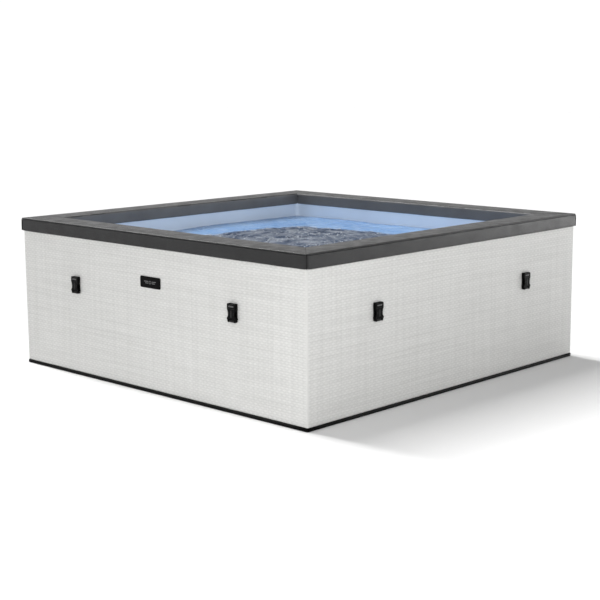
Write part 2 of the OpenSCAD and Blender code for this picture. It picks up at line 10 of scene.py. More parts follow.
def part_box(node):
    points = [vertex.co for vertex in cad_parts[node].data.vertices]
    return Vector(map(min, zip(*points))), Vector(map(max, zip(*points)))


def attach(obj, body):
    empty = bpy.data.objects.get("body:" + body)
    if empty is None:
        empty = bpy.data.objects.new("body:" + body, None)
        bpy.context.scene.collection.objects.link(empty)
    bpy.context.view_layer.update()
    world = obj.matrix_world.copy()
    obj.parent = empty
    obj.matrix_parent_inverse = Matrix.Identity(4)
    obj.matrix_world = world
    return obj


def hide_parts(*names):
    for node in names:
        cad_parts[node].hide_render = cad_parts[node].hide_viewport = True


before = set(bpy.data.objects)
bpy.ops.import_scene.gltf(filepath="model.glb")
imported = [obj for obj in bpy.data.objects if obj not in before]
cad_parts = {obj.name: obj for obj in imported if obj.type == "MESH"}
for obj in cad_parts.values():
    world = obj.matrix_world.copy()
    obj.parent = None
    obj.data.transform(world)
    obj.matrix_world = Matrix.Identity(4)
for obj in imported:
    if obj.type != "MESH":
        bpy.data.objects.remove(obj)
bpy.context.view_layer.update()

MM = 0.001
UP = Vector((0, 0, 1))
SIDES = ["front", "right", "back", "left"]
BACK = 2
CLOTH_UV = "cloth"

# ---------- sizes taken from the frame ----------

rim_lo, rim_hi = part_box("rim_cover_front")
RIM_OUT, RIM_IN = -rim_lo.y, -rim_hi.y
RIM_TOP, BAND_LOW = rim_hi.z, rim_lo.z
wall_lo, wall_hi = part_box("wall_cover_front")
WALL_OUT, WALL_LOW, WALL_TOP = -wall_lo.y, wall_lo.z, wall_hi.z
liner_lo, liner_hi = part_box("liner")
LINER_T = 2 * MM
LINER_IN, FLOOR_Z = liner_hi.x - LINER_T, liner_lo.z + LINER_T
case_lo, case_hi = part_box("equipment_case")
CASE_FLANGE = 20 * MM
CASE_HALF = (case_hi.x - case_lo.x) / 2 - CASE_FLANGE
CASE_LOW, CASE_HIGH = case_lo.z + CASE_FLANGE, case_hi.z - CASE_FLANGE

# ---------- sizes of its own ----------

CORNER_R, COVER_T = 10 * MM, 3 * MM
LINER_CORNER_R, LINER_COVE = 24 * MM, 30 * MM
AIR_FEED_Z = 0.12
WATER_Z, CHURN_HALF = 0.568, 0.465


# ---------- geometry helpers ----------

def turned(side, p):
    """A point drawn for the front wall, turned to wall 0 front, 1 right, 2 back or 3 left."""
    for _ in range(side):
        p = (-p[1], p[0], p[2])
    return Vector(p)


def centre_of(node):
    """The middle of a CAD node's box."""
    lo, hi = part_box(node)
    return (lo + hi) / 2


def shifted(x, y, z):
    return Matrix.Translation((x, y, z))


def spun(degrees, axis):
    return Matrix.Rotation(math.radians(degrees), 4, axis)


def scaled(factor, *points):
    """Points times a factor, such as MM for points in millimetres."""
    return [tuple(c * factor for c in p) for p in points]


def spread(start, end, step):
    """Evenly spaced values from start to end, about a step apart."""
    count = max(1, round(abs(end - start) / step))
    return [start + (end - start) * i / count for i in range(count + 1)]


def merged(values, gap=0.5 * MM):
    """Sorted values, without those closer than a gap to the one before."""
    kept = []
    for value in sorted(values):
        if not kept or value - kept[-1] > gap:
            kept.append(value)
    return kept


def with_cuts(values, cuts, clear):
    """Values with some cuts added, and without those nearer to a cut than clear."""
    return [v for v in values if all(abs(v - c) > clear for c in cuts)] + list(cuts)


def inside(holes, x, z, margin=0.0):
    """Whether a place is in one of some (left, right, low, high) holes, or within a margin of it."""
    return any(x0 - margin < x < x1 + margin and z0 - margin < z < z1 + margin for x0, x1, z0, z1 in holes)


def limited(value):
    """A value kept between 0 and 1."""
    return min(1.0, max(0.0, value))


def arc(centre, radius, start, end, steps):
    """Points on an arc in a plane, angles in degrees."""
    angles = [math.radians(start + (end - start) * i / steps) for i in range(steps + 1)]
    return [(centre[0] + radius * math.cos(a), centre[1] + radius * math.sin(a)) for a in angles]


def rounded_rect(width, height, radius, steps=6):
    """The outline of a rectangle with rounded corners, centred, counter-clockwise."""
    x, y = width / 2 - radius, height / 2 - radius
    corners = [((x, -y), -90), ((x, y), 0), ((-x, y), 90), ((-x, -y), 180)]
    return [p for c, a in corners for p in arc(c, radius, a, a + 90, steps)]


def new_object(name, data):
    obj = bpy.data.objects.new(name, data)
    bpy.context.scene.collection.objects.link(obj)
    return obj


def smooth(mesh, angle=35):
    """Smooth shading, but for edges sharper than an angle."""
    mesh.polygons.foreach_set("use_smooth", [True] * len(mesh.polygons))
    mesh.set_sharp_from_angle(angle=math.radians(angle))


def cleaned(bm):
    """Merges doubled points, and drops stray ones and faces with no area."""
    bmesh.ops.remove_doubles(bm, verts=bm.verts, dist=2e-6)
    bmesh.ops.dissolve_degenerate(bm, edges=bm.edges, dist=2e-6)
    bmesh.ops.delete(bm, geom=[v for v in bm.verts if not v.link_edges], context="VERTS")


def baked(bm, mesh, angle):
    """Puts a bmesh into a mesh and frees it."""
    bm.to_mesh(mesh)
    bm.free()
    smooth(mesh, angle)
    return mesh


def shape(verts, faces, uvs=None, angle=35):
    """A clean mesh from points and faces, facing outwards."""
    mesh = bpy.data.meshes.new("shape")
    mesh.from_pydata([tuple(v) for v in verts], [], faces)
    if uvs:
        layer = mesh.uv_layers.new(name=CLOTH_UV)
        for loop in mesh.loops:
            layer.data[loop.index].uv = uvs[loop.vertex_index]
    bm = bmesh.new()
    bm.from_mesh(mesh)
    cleaned(bm)
    bmesh.ops.recalc_face_normals(bm, faces=bm.faces)
    if bm.calc_volume(signed=True) < 0:
        bmesh.ops.reverse_faces(bm, faces=bm.faces)
    return baked(bm, mesh, angle)


def piece(name, mesh, material, slot, body="tub", stands_for=()):
    """A finished piece: a mesh with its material, its body and the CAD nodes it stands for."""
    mesh.name = name
    mesh.materials.clear()
    mesh.materials.append(material)
    obj = new_object(name, mesh)
    # broad faces stay flat in the light beside their rounded edges
    obj.modifiers.new("face_weighted_normals", "WEIGHTED_NORMAL").keep_sharp = True
    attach(obj, body)
    if stands_for:
        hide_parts(*stands_for)
    return obj


def joined(meshes, angle=35):
    """Several meshes as one."""
    bm = bmesh.new()
    for mesh in meshes:
        bm.from_mesh(mesh)
    return baked(bm, bpy.data.meshes.new("joined"), angle)


def moved(mesh, matrix):
    """A copy of a mesh, placed by a matrix."""
    copy = mesh.copy()
    copy.transform(matrix)
    if matrix.determinant() < 0:
        copy.flip_normals()
    return copy


def loft(rings, closed=False, angle=35):
    """A skin through rings with the same number of points: capped at both ends, or closed on itself."""
    n, count = len(rings[0]), len(rings)
    faces = []
    for a in range(count if closed else count - 1):
        b = (a + 1) % count
        for j in range(n):
            k = (j + 1) % n
            faces.append((a * n + j, a * n + k, b * n + k, b * n + j))
    if not closed:
        faces.append(tuple(reversed(range(n))))
        faces.append(tuple(range((count - 1) * n, count * n)))
    return shape([p for ring in rings for p in ring], faces, None, angle)


def hoop(*layers, angle=35):
    """A closed ring through (outline in X and Z, place along Y) layers."""
    return loft([[(x, y, z) for x, z in outline] for outline, y in layers], True, angle)


def two_layers(nu, nv, present, wrap=False):
    """Faces of two layers over a grid of nu by nv points, without the cells that aren't present(i, j),
    and the edges of the first layer that only one cell has."""
    faces, edges, shift = [], {}, nu * nv
    for i in range(nu if wrap else nu - 1):
        for j in range(nv - 1):
            if not present(i, j):
                continue
            k = (i + 1) % nu
            quad = (i * nv + j, k * nv + j, k * nv + j + 1, i * nv + j + 1)
            faces += [quad, tuple(q + shift for q in reversed(quad))]
            for a, b in zip(quad, quad[1:] + quad[:1]):
                key = (min(a, b), max(a, b))
                edges[key] = None if key in edges else (a, b)
    return faces, [edge for edge in edges.values() if edge]


def edge_walls(borders, shift):
    """The faces that join the two layers along their borders."""
    return [(b, a, a + shift, b + shift) for a, b in borders]


def skin(columns, rows, place, keep=lambda u, v: True, angle=35):
    """A closed thin skin over a grid. place(u, v) gives an outer and an inner point; keep(u, v) says
    whether the cell with that middle is there. The grid's own values are the cloth coordinates."""
    uvs = [(u, v) for u in columns for v in rows]
    outer, inner = zip(*(place(u, v) for u, v in uvs))

    def present(i, j):
        return keep((columns[i] + columns[i + 1]) / 2, (rows[j] + rows[j + 1]) / 2)

    faces, borders = two_layers(len(columns), len(rows), present)
    return shape(outer + inner, faces + edge_walls(borders, len(outer)), uvs + uvs, angle)


def lathe(profile, steps=32, angle=35):
    """A solid of revolution about +Z from (radius, height) points, closed on the axis or as a ring."""
    ring = profile[0][0] > 1e-7 or profile[-1][0] > 1e-7
    verts, faces, n = [], [], len(profile)
    for i in range(steps):
        a = 2 * math.pi * i / steps
        verts += [(r * math.cos(a), r * math.sin(a), z) for r, z in profile]
        k = (i + 1) % steps
        for j in range(n if ring else n - 1):
            m = (j + 1) % n
            faces.append((i * n + j, k * n + j, k * n + m, i * n + m))
    return shape(verts, faces, None, angle)


def slab(outline, low, high, bevel, steps=3):
    """A counter-clockwise outline in X and Z, from low to high along Y, with its high edge rounded."""
    points = [Vector(p) for p in outline]
    inward = []
    for before, after in zip(points[-1:] + points[:-1], points[1:] + points[:1]):
        along = (after - before).normalized()
        inward.append(Vector((-along.y, along.x)))
    rings = [[(x, low, z) for x, z in outline]]
    for i in range(steps + 1):
        turn = math.radians(90 * i / steps)
        y = high - math.copysign(bevel, high - low) * (1 - math.sin(turn))
        ring = [p + way * (bevel * (1 - math.cos(turn))) for p, way in zip(points, inward)]
        rings.append([(p.x, y, p.y) for p in ring])
    return loft(rings)


def tube(points, radius, sides=10, closed=False, angle=60):
    """A round tube along points."""
    pts = [Vector(p) for p in points]
    rings, side = [], None
    for i, p in enumerate(pts):
        before = pts[i - 1] if i or closed else p
        after = pts[(i + 1) % len(pts)] if i + 1 < len(pts) or closed else p
        along = (after - before).normalized()
        if side is None:
            side = along.cross(UP if abs(along.z) < 0.9 else Vector((0, 1, 0))).normalized()
        else:
            side = (side - along * side.dot(along)).normalized()
        up = side.cross(along)
        angles = [2 * math.pi * k / sides for k in range(sides)]
        rings.append([p + radius * (side * math.cos(a) + up * math.sin(a)) for a in angles])
    return loft(rings, closed, angle)


def carved(mesh, cutters):
    """A mesh with other closed meshes cut out of it."""
    obj = new_object("carve", mesh)
    tools = [new_object("cutter", c) for c in cutters]
    for tool in tools:
        cut = obj.modifiers.new("cut", "BOOLEAN")
        cut.object = tool
        cut.operation = "DIFFERENCE"
        cut.solver = "EXACT"
    bpy.context.view_layer.update()
    made = bpy.data.meshes.new_from_object(obj.evaluated_get(bpy.context.evaluated_depsgraph_get()))
    for o in [obj, *tools]:
        bpy.data.objects.remove(o)
    smooth(made)
    return made


def block(lo, hi):
    """A plain box mesh between two corners, for cutting or as a base for softened()."""
    lo, hi = Vector(lo), Vector(hi)
    bm = bmesh.new()
    bmesh.ops.create_cube(bm, size=1)
    bm.transform(Matrix.Translation((lo + hi) / 2) @ Matrix.Diagonal((*(hi - lo), 1)))
    mesh = bpy.data.meshes.new("block")
    bm.to_mesh(mesh)
    bm.free()
    return mesh


def softened(mesh, width, segments=3):
    """A mesh with its sharp edges rounded."""
    bm = bmesh.new()
    bm.from_mesh(mesh)
    bmesh.ops.remove_doubles(bm, verts=bm.verts, dist=1e-6)
    bmesh.ops.dissolve_limit(bm, angle_limit=math.radians(1), verts=bm.verts, edges=bm.edges)
    sharp = [e for e in bm.edges if len(e.link_faces) == 2 and e.calc_face_angle(0) > math.radians(30)]
    bmesh.ops.bevel(bm, geom=sharp, offset=width, segments=segments, profile=0.5,
                    affect="EDGES", clamp_overlap=True)
    cleaned(bm)
    return baked(bm, bpy.data.meshes.new("softened"), 35)


def soft_copy(node, name, material, slot, width, segments=3, body="tub"):
    """A new piece in the shape of a CAD solid, with its edges rounded by a width in millimetres."""
    mesh = softened(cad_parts[node].data, width * MM, segments)
    return piece(name, mesh, material, slot, body, [node])


# ---------- material helpers ----------

class Graph:
    """Shader nodes being built in the tree of a material or world, with constants on its own shader."""

    def __init__(self, owner, shader_name, **sockets):
        owner.use_nodes = True
        self.owner, self.tree = owner, owner.node_tree
        self.shader = self.tree.nodes[shader_name]
        self.feed(self.shader, {key.replace("_", " "): value for key, value in sockets.items()})

    def feed(self, target, inputs):
        """Sets or links a node's inputs."""
        for key, value in inputs.items():
            if isinstance(value, bpy.types.NodeSocket):
                self.tree.links.new(value, target.inputs[key])
            elif value is not None:
                target.inputs[key].default_value = value

    def node(self, kind, inputs, output=0, **settings):
        """One output of a new node, with its settings made and its inputs set or linked."""
        made = self.tree.nodes.new("ShaderNode" + kind)
        for key, value in settings.items():
            setattr(made, key, value)
        self.feed(made, inputs)
        return made.outputs[output]

    def place(self, scale=(1, 1, 1), uv=False):
        """Coordinates in metres on the object, or along its cloth, times a scale."""
        if uv:
            source = self.node("UVMap", {}, "UV", uv_map=CLOTH_UV)
        else:
            source = self.node("TexCoord", {}, "Object")
        return self.node("Mapping", {"Vector": source, "Scale": scale})

    def speckle(self, scale, detail=3.0, stretch=(1, 1, 1), uv=False, rough=0.5, warp=0.0, output="Fac"):
        """Noise of about 1/scale metres."""
        return self.node("TexNoise", {"Vector": self.place(stretch, uv), "Scale": scale, "Detail": detail,
                                      "Roughness": rough, "Distortion": warp}, output)

    def cells(self, scale, place=None, feature="DISTANCE_TO_EDGE"):
        """Cells of about 1/scale metres, as the distance to their edges or middles."""
        return self.node("TexVoronoi", {"Vector": place or self.place(), "Scale": scale}, "Distance",
                         feature=feature)

    def ramp(self, value, *stops):
        """A colour ramp through (place, colour) stops; a plain number is a grey."""
        colours = self.node("ValToRGB", {"Fac": value}, "Color")
        elements = colours.node.color_ramp.elements
        while len(elements) < len(stops):
            elements.new(1.0)
        for element, (at, colour) in zip(elements, stops):
            element.position = at
            element.color = (colour,) * 3 + (1,) if isinstance(colour, float) else (*colour, 1)
        return colours

    def maths(self, kind, a, b=None, clamp=False):
        return self.node("Math", {0: a, 1: b}, operation=kind, use_clamp=clamp)

    def vector(self, kind, a, b):
        return self.node("VectorMath", {0: a, 1: b}, operation=kind)

    def mixed(self, a, b, share, blend="MIX"):
        """Two colours mixed by a share."""
        a, b = ((*c, 1) if isinstance(c, tuple) else c for c in (a, b))
        return self.node("Mix", {6: a, 7: b, 0: share}, 2, data_type="RGBA", blend_type=blend)

    def bumped(self, *bumps):
        """Stacks (height, strength, distance in millimetres) bumps on the shader's normal."""
        normal = None
        for height, strength, distance in bumps:
            normal = self.node("Bump", {"Height": height, "Strength": strength, "Distance": distance * MM,
                                        "Normal": normal}, "Normal")
        self.feed(self.shader, {"Normal": normal})

    def coloured(self, value, colour, low=0.9, high=1.08):
        """Varies the base colour a little with a value."""
        self.feed(self.shader, {"Base Color": self.ramp(value, (0.3, tint(colour, low)),
                                                        (0.7, tint(colour, high)))})

    def glossed(self, value, low, high):
        """Varies the roughness with a value."""
        self.feed(self.shader, {"Roughness": self.ramp(value, (0.3, low), (0.7, high))})


def look(name, roughness=0.5, **sockets):
    """A new Principled material to build."""
    return Graph(bpy.data.materials.new(name), "Principled BSDF", Roughness=roughness, **sockets)


def tint(colour, factor):
    return tuple(min(1.0, c * factor) for c in colour)


# ---------- materials ----------

def moulded(name, colour, roughness=0.45, **sockets):
    """Moulded plastic: faint flow marks, a fine spark-eroded grain and slightly uneven gloss."""
    made = look(name, roughness, **sockets)
    made.coloured(made.speckle(7.0, 5.0), colour, 0.97, 1.03)
    made.glossed(made.speckle(120.0), roughness - 0.03, roughness + 0.04)
    made.bumped((made.speckle(900.0, 2.0), 0.14, 0.25))
    return made.owner


def leatherette(name, colour, roughness=0.42, specular=0.28):
    """Marine leatherette: pebbled grain, soft creases and a satin coat."""
    made = look(name, roughness, Specular_IOR_Level=specular)
    made.coloured(made.speckle(5.0, 4.0), colour, 0.85, 1.14)
    made.glossed(made.speckle(22.0), roughness - 0.05, roughness + 0.09)
    creases, gathers = made.speckle(7.0, 4.0), made.speckle(1.0, 2.0, (75, 75, 7))
    pebbles = made.ramp(made.cells(420.0), (0.0, 0.0), (0.18, 0.8), (0.6, 1.0))
    made.bumped((creases, 0.35, 4), (gathers, 0.3, 0.9), (made.speckle(60.0, 3.0), 0.18, 0.6),
                (pebbles, 0.35, 0.35))
    return made.owner


def weave_relief(made):
    """The height of a plain weave of flat strands, and a chance value for each strand."""
    row, strand = 10 * MM, 27 * MM
    maths, place = made.maths, made.place(uv=True)
    wander = made.node("TexNoise", {"Vector": place, "Scale": 22.0, "Detail": 1.0}, "Color")
    place = made.vector("ADD", place, made.vector("MULTIPLY", wander, (4 * MM, 1.8 * MM, 0)))
    cell = made.vector("MULTIPLY", place, (1 / strand, 1 / row, 1))
    x, y = made.node("SeparateXYZ", {0: cell}, "X"), made.node("SeparateXYZ", {0: cell}, "Y")
    level = maths("FLOOR", y)
    along = maths("ADD", x, maths("MULTIPLY", level, 0.5))
    # 1 where a strand is on top, -1 where an upright is
    swing = maths("COSINE", maths("MULTIPLY", maths("ADD", along, 0.5), 2 * math.pi))
    over = maths("ADD", maths("MULTIPLY", swing, 0.3), 0.7)
    crown = maths("POWER", maths("ABSOLUTE", maths("SINE", maths("MULTIPLY", y, math.pi))), 0.55)
    under = maths("SUBTRACT", 0.5, maths("MULTIPLY", swing, 0.5))
    upright = maths("MULTIPLY", maths("POWER", under, 12.0), 0.62)
    relief = maths("MAXIMUM", maths("MULTIPLY", over, crown), upright)
    strand_id = made.node("CombineXYZ", {0: maths("FLOOR", along), 1: level})
    return relief, made.node("TexWhiteNoise", {"Vector": strand_id}, "Value", noise_dimensions="2D")


def woven(name, light, shade):
    """White rattan-look cloth: flat strands go over one upright and under the next, row by row."""
    made = look(name, 0.55, Specular_IOR_Level=0.18)
    relief, chance = weave_relief(made)
    fibres = made.speckle(1.0, 3.0, (70, 900, 1), uv=True)
    colour = made.mixed(tint(light, 0.975), tint(light, 1.015), chance)
    colour = made.mixed(colour, tint(light, 0.84), made.ramp(fibres, (0.45, 0.0), (0.72, 0.8)))
    # painted shade: the cloth is darkened to the shade colour in the dips between rows and where a strand
    # goes under
    colour = made.mixed(shade, colour, made.ramp(relief, (0.05, 0.0), (0.75, 1.0)))
    uprights = made.speckle(1.0, 2.0, (75, 1.6, 1), uv=True)
    courses = made.speckle(1.0, 2.0, (2.2, 85, 1), uv=True)
    for factor in (made.ramp(uprights, (0.3, 0.96), (0.5, 1.0), (0.7, 1.03)),
                   made.ramp(courses, (0.3, 0.945), (0.5, 1.0), (0.7, 1.035)),
                   made.ramp(made.speckle(3.2, 3.0), (0.3, 0.975), (0.7, 1.0))):
        colour = made.mixed(colour, factor, 1.0, "MULTIPLY")
    made.feed(made.shader, {"Base Color": colour})
    made.glossed(relief, 0.68, 0.5)
    made.bumped((relief, 0.4, 1.0), (fibres, 0.3, 0.25))
    return made.owner


def liner_vinyl(name, colour):
    """Smooth pool liner with a faint emboss and shallow creases."""
    made = look(name, 0.32, Specular_IOR_Level=0.5)
    made.coloured(made.speckle(2.5, 4.0), colour, 0.93, 1.05)
    made.glossed(made.speckle(20.0), 0.31, 0.35)
    made.bumped((made.speckle(4.0, 1.0), 0.2, 3), (made.speckle(350.0, 2.0), 0.1, 0.3))
    return made.owner


def foam_board(name, colour):
    """Closed-cell foam: small round cells and a matt cut face."""
    made = look(name, 0.9)
    cells = made.cells(260.0, feature="F1")
    made.coloured(cells, colour, 0.95, 1.03)
    made.bumped((cells, 0.4, 1))
    return made.owner


def webbing_cloth(name, colour):
    """Polyester webbing: a fine herringbone of raised threads."""
    made = look(name, 0.75, Sheen_Weight=0.08, Specular_IOR_Level=0.25)
    ribs = made.node("TexWave", {"Vector": made.place(uv=True), "Scale": 160.0, "Distortion": 1.5}, "Fac",
                     bands_direction="DIAGONAL")
    made.coloured(ribs, colour, 0.7, 1.5)
    made.bumped((ribs, 0.5, 0.5))
    return made.owner


def calm_water(made, place):
    """Clear blue, deeper in patches, under a faint net of caustics."""
    net = made.ramp(made.cells(11.0, place), (0.0, 1.0), (0.05, 0.5), (0.2, 0.0))
    fading = made.ramp(made.speckle(4.5, 2.0), (0.35, 0.08), (0.65, 0.5))
    deep = made.ramp(made.speckle(3.0, 4.0), (0.32, (0.15, 0.34, 0.68)), (0.68, (0.26, 0.49, 0.84)))
    return made.mixed(deep, (0.58, 0.76, 0.97), made.maths("MULTIPLY", net, fading))


def churned_water(made, cells):
    """Slate grey swirls with streaks and rafts of froth, and the froth's height. The dark slate is partly
    churned water and partly a painted reflection of the dark rim.
    """
    swirl = made.speckle(7.0, 5.0, rough=0.6, warp=1.6)
    slate = made.ramp(swirl, (0.32, (0.012, 0.028, 0.068)), (0.50, (0.036, 0.06, 0.112)),
                      (0.68, (0.13, 0.155, 0.195)))
    curl = made.speckle(4.2, 4.0, rough=0.6, warp=2.2)
    streaks = made.ramp(curl, (0.46, 0.0), (0.49, 0.4), (0.5, 0.85), (0.51, 0.4), (0.54, 0.0))
    rafts = made.ramp(made.speckle(10.0, 5.0, rough=0.7), (0.50, 0.0), (0.68, 0.8))
    walls = made.ramp(cells, (0.0, 1.0), (0.12, 0.5), (0.3, 0.2))
    froth = made.maths("MULTIPLY", walls, made.maths("MAXIMUM", streaks, rafts))
    return made.mixed(slate, (0.62, 0.66, 0.71), froth), froth


def water_surface(name):
    """Bath water: clear blue with soft caustics, and slate grey under froth where the air comes up; the
    slate is partly a painted reflection of the dark rim.
    """
    made = look(name, 0.12, IOR=1.33, Alpha=0.66, Specular_IOR_Level=0.28)
    churn, foam = (made.node("Attribute", {}, "Fac", attribute_name=kind) for kind in ("churn", "foam"))
    bend = made.vector("MULTIPLY", made.speckle(5.0, 2.0, output="Color"), (0.09, 0.09, 0.0))
    bent = made.vector("ADD", made.place(), bend)
    cells = made.cells(95.0, bent)
    frothy, froth = churned_water(made, cells)
    colour = made.mixed(calm_water(made, bent), frothy, churn)
    lace = made.maths("MULTIPLY", foam, made.ramp(cells, (0.0, 1.0), (0.35, 0.45)), True)
    made.feed(made.shader, {"Base Color": made.mixed(colour, (0.88, 0.92, 0.97), lace)})
    made.glossed(made.maths("MAXIMUM", churn, foam), 0.12, 0.5)
    made.bumped((made.speckle(14.0, 3.0), 0.33, 7), (made.speckle(70.0, 2.0), 0.2, 1.5), (froth, 0.3, 1.0))
    return made.owner


def bubble_film(name):
    """The thin bright skin of a bubble."""
    made = look(name, 0.12, IOR=1.33, Alpha=0.4, Specular_IOR_Level=0.5)
    made.coloured(made.speckle(60.0), (0.7, 0.74, 0.79), 0.95, 1.05)
    return made.owner


def pleated_paper(name, colour):
    """Filter paper: matt, with short fibres."""
    made = look(name, 0.85)
    fibres = made.speckle(500.0, 3.0)
    made.coloured(fibres, colour, 0.9, 1.05)
    made.bumped((fibres, 0.4, 0.3))
    return made.owner


def brushed_steel(name, colour, roughness=0.3):
    """Drawn steel with lengthwise scratches."""
    made = look(name, roughness, Metallic=1.0)
    lines = made.speckle(1.0, 3.0, (30, 900, 900))
    made.coloured(lines, colour, 0.88, 1.1)
    made.glossed(lines, roughness - 0.08, roughness + 0.12)
    made.bumped((lines, 0.15, 0.1))
    return made.owner


def lit_glass(name):
    """The dark smoked window of a display."""
    made = look(name, 0.12, Coat_Weight=0.6, Coat_Roughness=0.05)
    made.coloured(made.speckle(30.0), (0.012, 0.02, 0.03))
    return made.owner


def glowing(name, colour, strength):
    """Lit segments and lamps."""
    made = look(name, 0.4, Emission_Strength=strength)
    haze = made.speckle(300.0)
    glow = made.ramp(haze, (0.3, tint(colour, 0.85)), (0.7, colour))
    made.feed(made.shader, {"Emission Color": glow})
    made.coloured(haze, colour)
    return made.owner


def circuit_board(name):
    """Green solder mask over faint copper tracks."""
    made = look(name, 0.35)
    tracks = made.node("TexBrick", {"Vector": made.place(), "Scale": 1.0, "Mortar Size": 0.5 * MM,
                                    "Brick Width": 9 * MM, "Row Height": 3 * MM}, "Fac")
    colour = made.mixed((0.01, 0.09, 0.04), (0.03, 0.2, 0.09), tracks)
    made.feed(made.shader, {"Base Color": colour})
    return made.owner


def studio_floor(name):
    """A plain pale floor."""
    made = look(name, 0.9, Specular_IOR_Level=0.0)
    made.coloured(made.speckle(0.6), (0.75, 0.75, 0.75), 0.995, 1.005)
    return made.owner


def grey(level):
    return (level, level, level)


LEATHER = leatherette("charcoal_leatherette", (0.014, 0.014, 0.0145))
# a paler copy of the rim's leatherette, its extra lightness painted light for the faces towards the water
PAINTED_LIGHT_LEATHER = leatherette("leatherette_painted_light_inner", (0.115, 0.115, 0.116))
PIPING = leatherette("black_piping", grey(0.012), 0.35)
SEAM = leatherette("black_seam", grey(0.002), 0.7)
# the second colour is the weave's painted shade in its dips
WEAVE = woven("white_rattan_cloth", (0.662, 0.662, 0.647), (0.535, 0.535, 0.523))
BEAD = moulded("white_corner_bead", (0.615, 0.615, 0.6), 0.55)
VINYL = liner_vinyl("blue_pool_liner", (0.65, 0.74, 0.85))
FOAM = foam_board("white_foam", (0.85, 0.85, 0.83))
MAT = leatherette("black_ground_mat", grey(0.004), 0.6, 0.08)
WEBBING = webbing_cloth("black_webbing", grey(0.011))
BUCKLE = moulded("black_buckle_plastic", grey(0.0015), 0.35, Specular_IOR_Level=0.05)
# a paler grey on the buckle's tongue and ribs: a painted highlight
HIGHLIGHT_TRIM = moulded("buckle_trim_painted_highlight", grey(0.013), 0.35, Specular_IOR_Level=0.15)
# a pale grey strip on the buckle's collar: a painted highlight
HIGHLIGHT_STRIP = moulded("buckle_strip_painted_highlight", grey(0.09), 0.35, Specular_IOR_Level=0.25)
PLATE = moulded("black_plate_plastic", grey(0.0015), 0.4, Specular_IOR_Level=0.04)
MARK = moulded("grey_mark", grey(0.15), 0.4, Specular_IOR_Level=0.2)
WHITE_PLASTIC = moulded("white_fitting_plastic", (0.78, 0.8, 0.82), 0.32)
DUCT = moulded("blue_duct_plastic", (0.42, 0.58, 0.8), 0.4)
PAPER = pleated_paper("filter_paper", (0.72, 0.8, 0.88))
CASE = moulded("light_grey_case", (0.62, 0.62, 0.6), 0.5)
DOOR = moulded("pale_door", (0.68, 0.68, 0.66), 0.48)
BLACK_PLASTIC = moulded("black_plastic", (0.02, 0.02, 0.021), 0.42)
KEY = moulded("key_rubber", (0.05, 0.05, 0.055), 0.6)
ICON = moulded("white_icon_print", grey(0.8), 0.5)
WINDOW = lit_glass("display_glass")
DIGITS = glowing("display_digits", (0.25, 0.75, 1.0), 3.0)
BOARD = circuit_board("circuit_board")
PUMP = moulded("dark_pump_plastic", (0.045, 0.05, 0.06), 0.45)
PIPE = moulded("grey_pipe_plastic", grey(0.5), 0.35)
STEEL = brushed_steel("brushed_steel", (0.62, 0.62, 0.63))
WATER = water_surface("tub_water")
BUBBLES = bubble_film("water_bubbles")


# ---------- stage, light and camera ----------

CAMERA_AT = (4.3048, -4.4456, 1.3791)
CAMERA_TURN = (42.987, 9.254, -0.202)  # azimuth, pitch and lean in degrees
CAMERA_LENS, CAMERA_SENSOR, CAMERA_SHIFT = 79.15, 36.0, (-0.0433, -0.0295)
FLOOR_HALF = 30.0
SOFTBOX_ROWS, SOFTBOX_POWER, SOFTBOX_WIDTH = (42, 46, 52, 60, 70), 0.71, 12.0


def make_stage():
    """A wide floor, and a room whose walls are white and whose ceiling is darker."""
    corners = [(x * FLOOR_HALF, y * FLOOR_HALF, 0) for x, y in ((-1, -1), (1, -1), (1, 1), (-1, 1))]
    mesh = bpy.data.meshes.new("studio_floor")
    mesh.from_pydata(corners, [], [(0, 1, 2, 3)])
    mesh.materials.append(studio_floor("pale_floor"))
    new_object("studio_floor", mesh)
    room = Graph(bpy.data.worlds.new("studio"), "Background", Strength=1.04)
    rise = room.node("SeparateXYZ", {0: room.node("TexCoord", {}, "Generated")}, "Z")
    shade = room.ramp(rise, (0.0, 1.0), (0.25, 1.0), (0.6, 0.41), (1.0, 0.31))
    room.feed(room.shader, {"Color": shade})
    bpy.context.scene.world = room.owner
    bpy.context.scene.view_settings.view_transform = "Standard"


def facing(obj, way):
    """Turns a light along a direction."""
    obj.rotation_mode = "QUATERNION"
    obj.rotation_quaternion = way.to_track_quat("-Z", "Y")


def make_light(name, place, target, size, power):
    """A soft box light at a place, facing a target; size is its width and height."""
    data = bpy.data.lights.new(name, "AREA")
    data.shape = "RECTANGLE"
    data.size, data.size_y = size
    data.energy = power
    obj = new_object(name, data)
    obj.location = place
    facing(obj, Vector(target) - Vector(place))
    return obj


def make_softbox():
    """A tall softbox far off on the -X side, as suns in rows; a row is named by its height in degrees."""
    for height in SOFTBOX_ROWS:
        data = bpy.data.lights.new(f"softbox_row_{height}", "SUN")
        data.energy, data.angle = SOFTBOX_POWER, math.radians(SOFTBOX_WIDTH)
        a = math.radians(height)
        facing(new_object(data.name, data), Vector((math.cos(a), 0, -math.sin(a))))


def make_gloss_strip():
    """A light that only shows in gloss, as the sheen on the rim and the water."""
    strip = make_light("gloss_strip", (3.0, 5.4, 0.9), (0.93, 0.7, 0.62), (1.6, 1.2), 125.0)
    strip.visible_diffuse = False
    strip.visible_camera = False


